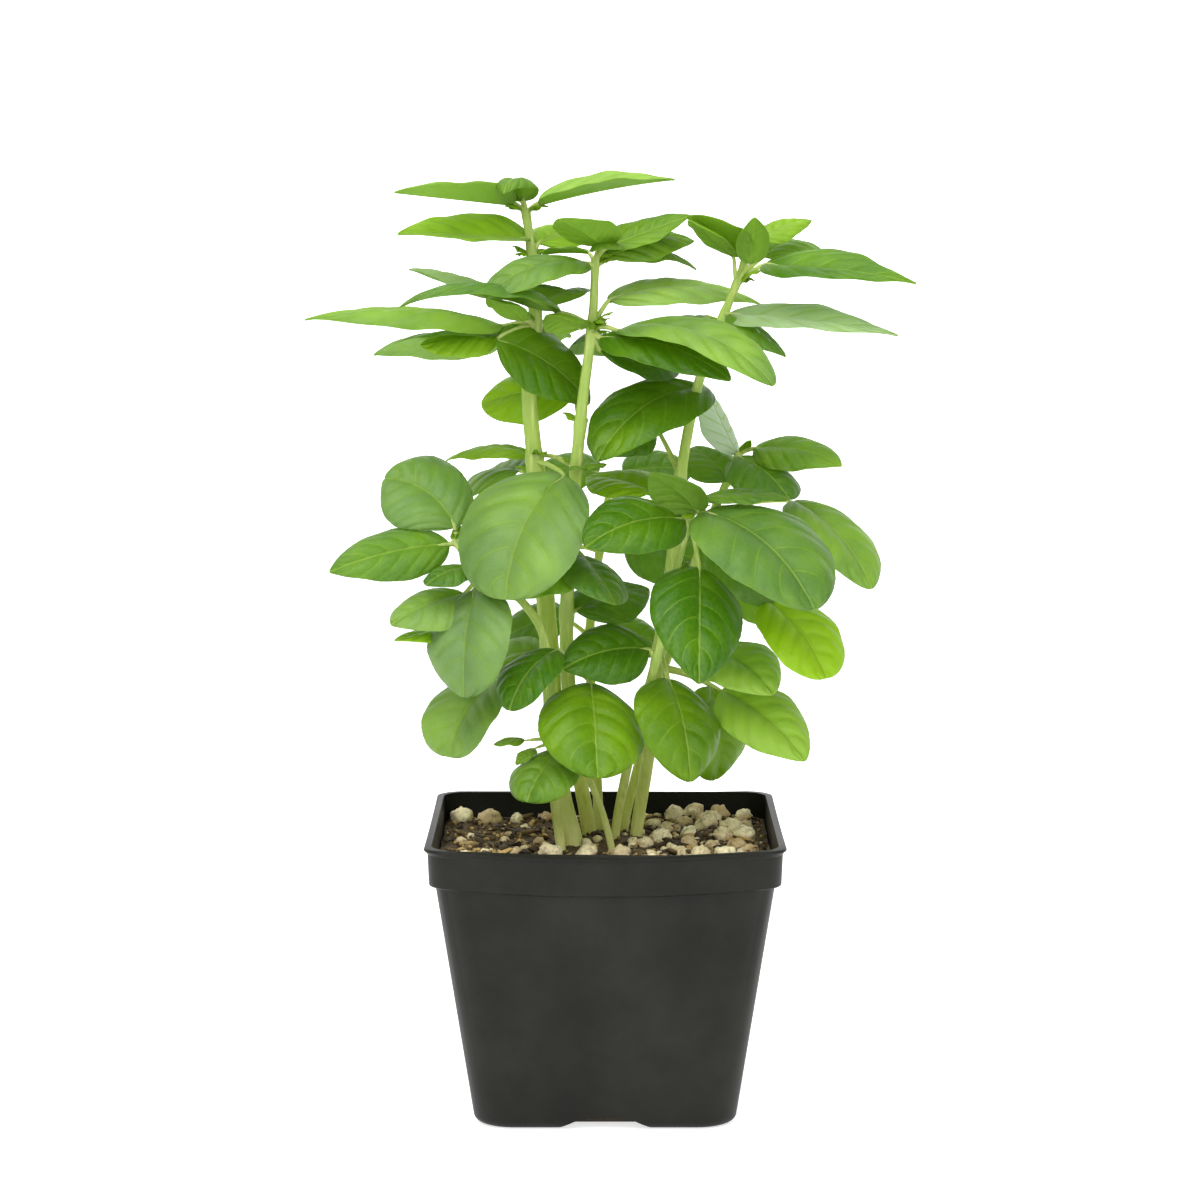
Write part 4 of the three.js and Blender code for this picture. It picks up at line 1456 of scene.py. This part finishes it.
@dataclass
class PottingMix:
    """The ground of the pot, with pale stones, bark and crumbs on it.

    Attributes:
        pot: The pot that it fills.
        top: The ground's mean height.
        clear: The gap to the pot's wall.
        seed: The seed of everything that is strewn.
        stony_from: Where across the pot the stony side begins.
        grit: The small stones.
        bark: The flat chips of bark.
        crumbs: The fine crumbs.
        mounds: Place across, place in depth, reach and height of each swelling of the ground.
        stones: Place across, place in depth and size of each stone that stands out.
    """

    pot: NurseryPot
    top: float = 82.0
    clear: float = 0.4
    seed: int = 5
    stony_from: float = 8.0
    grit: Litter = Litter(260, (1.6, 4.4), 0.2, (0.6, 0.9), (0.5, 0.8), lightest=0.9, stray=0.3)
    bark: Litter = Litter(420, (2.5, 7.5), 0.12, (0.2, 0.45), (0.15, 0.3), darker=2.2)
    crumbs: Litter = Litter(1400, (0.6, 2.0), 0.35, (0.4, 1.0), (0.4, 0.9), darker=1.6, fine=1)
    mounds: Sequence[tuple[float, float, float, float]] = (
        (33.0, 34.0, 17.0, 1.8), (-3.0, 10.0, 16.0, 1.8))
    stones: Sequence[tuple[float, float, float]] = (
        (-47, 46, 8), (-38, 47, 8.5), (-29, 47, 5), (-19, 47, 6.5), (-44, -18, 4.5), (-38, -13, 4),
        (-17, -18, 8), (-6, -18, 7.5), (5, -18, 6.5), (15, -25, 4), (29, 46, 8.5), (23, 43, 7.5),
        (38, 46, 8), (33, 25, 9), (41, 22, 8.5), (46, 45, 6), (45, 11, 8), (18, 8, 7.5),
        (30, -18, 7.5), (38, -18, 7), (13, 46, 5), (16, 34, 5.5), (20, 26, 5.5), (27, 2, 6),
        (42, -5, 6), (46, -11, 5), (24, -13, 5.5), (44, 34, 5.5), (46, 27, 5), (13, -3, 4.5),
        (21, -5, 4.5), (34, -3, 5), (27, 14, 6), (38, 9, 5.5), (26, 33, 6.5), (35, 36, 6.5),
        (-32, 10, 3.5), (-26, 30, 4), (-43, 16, 3.5), (-21, 6, 3.5), (-28, -11, 4), (-5, -33, 4),
        (-12, -33, 3.5), (7, -30, 4), (-30, -30, 5), (22, -34, 5), (36, -36, 6), (-42, -38, 5))

    def level(self, x: float, y: float) -> float:
        """The ground's height at a place.

        Args:
            x: The place across.
            y: The place in depth.

        Returns:
            The height.
        """
        near = noise.noise(Vector((x * 0.055, y * 0.055, 3.0)))
        fine = noise.noise(Vector((x * 0.35, y * 0.35, 9.0)))
        grit = noise.noise(Vector((x * 1.1, y * 1.1, 1.0)))
        heap = sum(high * math.exp(-((x - at_x) ** 2 + (y - at_y) ** 2) / reach ** 2)
                   for at_x, at_y, reach, high in self.mounds)
        return self.top - 0.8 + heap + 1.3 * near + 0.9 * fine + 0.4 * grit

    def ground(self) -> Skin:
        """The ground's top, laid over the square, with its sides down to the floor.

        Returns:
            The skin.
        """
        half = self.pot.band_half_low - self.pot.wall - self.clear
        corner = self.pot.rim_corner - 0.6
        count = 110
        points = []
        for j in range(count):
            for i in range(count):
                x, y = (half * (2 * k / (count - 1) - 1) for k in (i, j))
                dx, dy = abs(x) - (half - corner), abs(y) - (half - corner)
                if dx > 0 and dy > 0:
                    shrink = max(dx, dy) / math.hypot(dx, dy)
                    x = math.copysign(half - corner + dx * shrink, x)
                    y = math.copysign(half - corner + dy * shrink, y)
                points.append([x, y, self.level(x, y)])
        faces = [[j * count + i, j * count + i + 1, (j + 1) * count + i + 1, (j + 1) * count + i]
                 for j in range(count - 1) for i in range(count - 1)]
        skin = Skin()
        skin.add(np.array(points), faces, {"tone": 1.0})
        profile = [(w - self.clear, r, z) for w, r, z in self.pot.inside_profile(self.top - 1.5)]
        rings = np.array([self.pot.ring(w, r, z + (self.clear if k == 0 else 0))
                          for k, (w, r, z) in enumerate(profile)])
        # The sides and bottom get tone 0, painted shade: where they show through the drain holes
        # they are all dark.
        skin.rings(rings, {"tone": 0.0})
        return skin

    def lump(self, place: Sequence[float], size: float, shape: Sequence[float], tone: float,
             draw: random.Random, into: Skin, fine: int) -> None:
        """Add one stone or bit of bark.

        Args:
            place: Its middle.
            size: Its size across.
            shape: Its proportions.
            tone: How light it is.
            draw: The random draw.
            into: The skin to add to.
            fine: How often its ball is divided.
        """
        ball = bmesh.new()
        bmesh.ops.create_icosphere(ball, subdivisions=fine, radius=size / 2)
        turn = Euler((draw.uniform(-0.4, 0.4), draw.uniform(-0.4, 0.4), draw.uniform(0, 6.28)))
        shift = Vector((draw.random() * 50, draw.random() * 50, draw.random() * 50))
        points = []
        for vertex in ball.verts:
            spot = vertex.co.copy()
            uneven = 1 + 0.34 * noise.noise(spot * (1.5 / size * 2) + shift) \
                + 0.22 * noise.noise(spot * (3.4 / size * 2) + shift) \
                + 0.08 * noise.noise(spot * (9.0 / size * 2) + shift)
            spot = Vector((spot.x * shape[0], spot.y * shape[1], spot.z * shape[2])) * uneven
            spot.rotate(turn)
            points.append([place[0] + spot.x, place[1] + spot.y, place[2] + spot.z])
        faces = [[v.index for v in face.verts] for face in ball.faces]
        ball.free()
        into.add(np.array(points), faces, {"tone": tone})

    def free_spot(self, draw: random.Random, size: float,
                  stems: Sequence[Course]) -> tuple[float, float] | None:
        """A random spot inside the wall and off the stems.

        Args:
            draw: The random draw.
            size: The lump's size.
            stems: The stems' courses.

        Returns:
            The spot, or nothing where it falls on a stem.
        """
        reach = self.pot.band_half_low - self.pot.wall - self.clear - size * 0.62
        x, y = draw.uniform(-reach, reach), draw.uniform(-reach, reach)
        if abs(x) > reach - 4 and abs(y) > reach - 4:
            return None
        for course in stems:
            root, _ = course.at_height(self.top)
            if math.hypot(root[0] - x, root[1] - y) < 3.2 + size * 0.55:
                return None
        return x, y

    def strew(self, litter: Litter, draw: random.Random, stems: Sequence[Course],
              into: Skin) -> None:
        """Strew one kind of loose bit.

        Args:
            litter: The kind.
            draw: The random draw.
            stems: The stems' courses.
            into: The skin to add to.
        """
        for _ in range(litter.tries):
            size = draw.uniform(*litter.sizes)
            spot = self.free_spot(draw, size, stems)
            if spot is None:
                continue
            if litter.stray < 1 and spot[0] <= self.stony_from and draw.random() >= litter.stray:
                continue
            shape = (1.0, draw.uniform(*litter.widths), draw.uniform(*litter.heights))
            tone = draw.uniform(0.0, litter.lightest) ** litter.darker
            self.lump((*spot, self.level(*spot) + litter.lift * size), size, shape, tone, draw,
                      into, litter.fine)

    def build(self, finishes: dict[str, bpy.types.Material], stems: Sequence[Course]) -> None:
        """Build and dress the mix.

        Args:
            finishes: The materials by name.
            stems: The stems' courses, which the lumps keep off.
        """
        draw = random.Random(self.seed)
        settle(self.ground().build("mix_ground", 80), "soil", finishes["ground"])
        stones, bark, crumbs = Skin(), Skin(), Skin()
        for x, y, size in self.stones:
            self.lump((x, y, self.level(x, y) + 0.16 * size), size * 0.96,
                      (1.0, draw.uniform(0.75, 0.95), draw.uniform(0.65, 0.85)),
                      draw.uniform(0.35, 1.0), draw, stones, 3)
        self.strew(self.grit, draw, stems, stones)
        self.strew(self.bark, draw, stems, bark)
        self.strew(self.crumbs, draw, stems, crumbs)
        settle(stones.build("mix_stones", 70), "soil", finishes["stone"])
        settle(bark.build("mix_bark", 70), "soil", finishes["bark"])
        settle(crumbs.build("mix_crumbs", 70), "soil", finishes["bark"])


@dataclass(frozen=True)
class Lamp:
    """One soft round light, in metres and watts."""

    name: str
    place: tuple[float, float, float]
    power: float
    size: float = 1.3


@dataclass
class Studio:
    """The floor, the light and the camera, in metres and degrees.

    Attributes:
        eye: Where the camera stands.
        pitch: How far it looks down.
        lens: Its focal length in millimetres.
        reach: How far the floor goes to each side and to the front.
        back: How far behind the pot the backdrop hangs.
        tall: How high the backdrop is.
        low: The floor's height, a hair under the pot's feet.
        surround: How strong the white surround is.
        aim: Where the lamps point.
        lamps: The lamps.
    """

    eye: tuple[float, float, float] = (-0.0016, -1.154, 0.295)
    pitch: float = 6.65
    lens: float = 110.3
    reach: float = 3.0
    back: float = 2.2
    tall: float = 2.0
    low: float = -0.0003
    surround: float = 0.28
    aim: tuple[float, float, float] = (0.0, 0.0, 0.15)
    lamps: tuple[Lamp, ...] = (
        Lamp("overhead", (-0.15, -0.15, 1.25), 14.0),
        Lamp("front_left", (-0.45, -1.2, 1.1), 17.0),
        Lamp("front_right", (0.9, -1.1, 0.8), 9.0),
    )

    def camera(self) -> None:
        """Stand the camera at the photograph's viewing angle."""
        data = bpy.data.cameras.new("studio_camera")
        data.lens = self.lens
        data.sensor_width = 36.0
        data.clip_start = 0.05
        stand = bpy.data.objects.new("studio_camera", data)
        stand.location = self.eye
        stand.rotation_euler = (math.radians(90 - self.pitch), 0.0, 0.0)
        bpy.context.scene.collection.objects.link(stand)
        bpy.context.scene.camera = stand

    def sheet(self, name: str, corners: Sequence[Sequence[float]],
              finish: bpy.types.Material) -> None:
        """Hang one flat sheet of the sweep.

        Args:
            name: Its name.
            corners: Its four corners.
            finish: Its material.
        """
        mesh = bpy.data.meshes.new(name)
        mesh.from_pydata(corners, [], [[0, 1, 2, 3]])
        mesh.materials.append(finish)
        plane = bpy.data.objects.new(name, mesh)
        bpy.context.scene.collection.objects.link(plane)

    def sweep(self, floor: bpy.types.Material, backdrop: bpy.types.Material) -> None:
        """Lay the floor and hang the white backdrop behind it.

        Args:
            floor: The floor's material.
            backdrop: The backdrop's material.
        """
        reach, low, back, tall = self.reach, self.low, self.back, self.tall
        self.sheet("studio_floor", [(-reach, -reach, low), (reach, -reach, low),
                                    (reach, back + 0.1, low), (-reach, back + 0.1, low)], floor)
        self.sheet("studio_backdrop", [(-reach, back, low), (reach, back, low),
                                       (reach, back, tall), (-reach, back, tall)], backdrop)

    def hang(self, lamp: Lamp) -> None:
        """Hang one soft light.

        Args:
            lamp: The light.
        """
        data = bpy.data.lights.new(lamp.name, "AREA")
        data.shape = "DISK"
        data.size = lamp.size
        data.energy = lamp.power
        hung = bpy.data.objects.new(lamp.name, data)
        hung.location = lamp.place
        way = Vector(self.aim) - Vector(lamp.place)
        hung.rotation_euler = way.to_track_quat("-Z", "Y").to_euler()
        bpy.context.scene.collection.objects.link(hung)

    def light(self) -> None:
        """Set the white surround and hang the lights."""
        scene = bpy.context.scene
        world = bpy.data.worlds.new("studio_white")
        world.use_nodes = True
        background = world.node_tree.nodes["Background"]
        background.inputs["Color"].default_value = (1, 1, 1, 1)
        background.inputs["Strength"].default_value = self.surround
        scene.world = world
        scene.view_settings.view_transform = "Standard"
        for lamp in self.lamps:
            self.hang(lamp)


def main() -> None:
    """Build the pieces in order."""
    logging.basicConfig(level=logging.INFO, format="%(name)s: %(message)s")
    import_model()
    finishes = {
        "leaf": LeafFinish().make(),
        "stem": StemFinish().make(),
        "pot": PotFinish().make(),
        "ground": GroundFinish().make(),
        "stone": StoneFinish("pale_stone", (0.42, 0.26, 0.09), (0.97, 0.87, 0.56), 0.5).make(),
        "bark": StoneFinish("dark_bark", (0.026, 0.013, 0.003), (0.56, 0.38, 0.12)).make(),
        "floor": FloorFinish().make(),
        "backdrop": FloorFinish(glow=1.0).make(),
    }
    studio = Studio()
    studio.camera()
    studio.sweep(finishes["floor"], finishes["backdrop"])
    studio.light()
    pot = NurseryPot()
    pot.build(finishes["pot"])
    PottingMix(pot).build(finishes, [Course(stem.path) for stem in PLANT])
    for number, stem in enumerate(PLANT):
        stem.build(finishes, 11 + number)


if __name__ == "__main__":
    main()
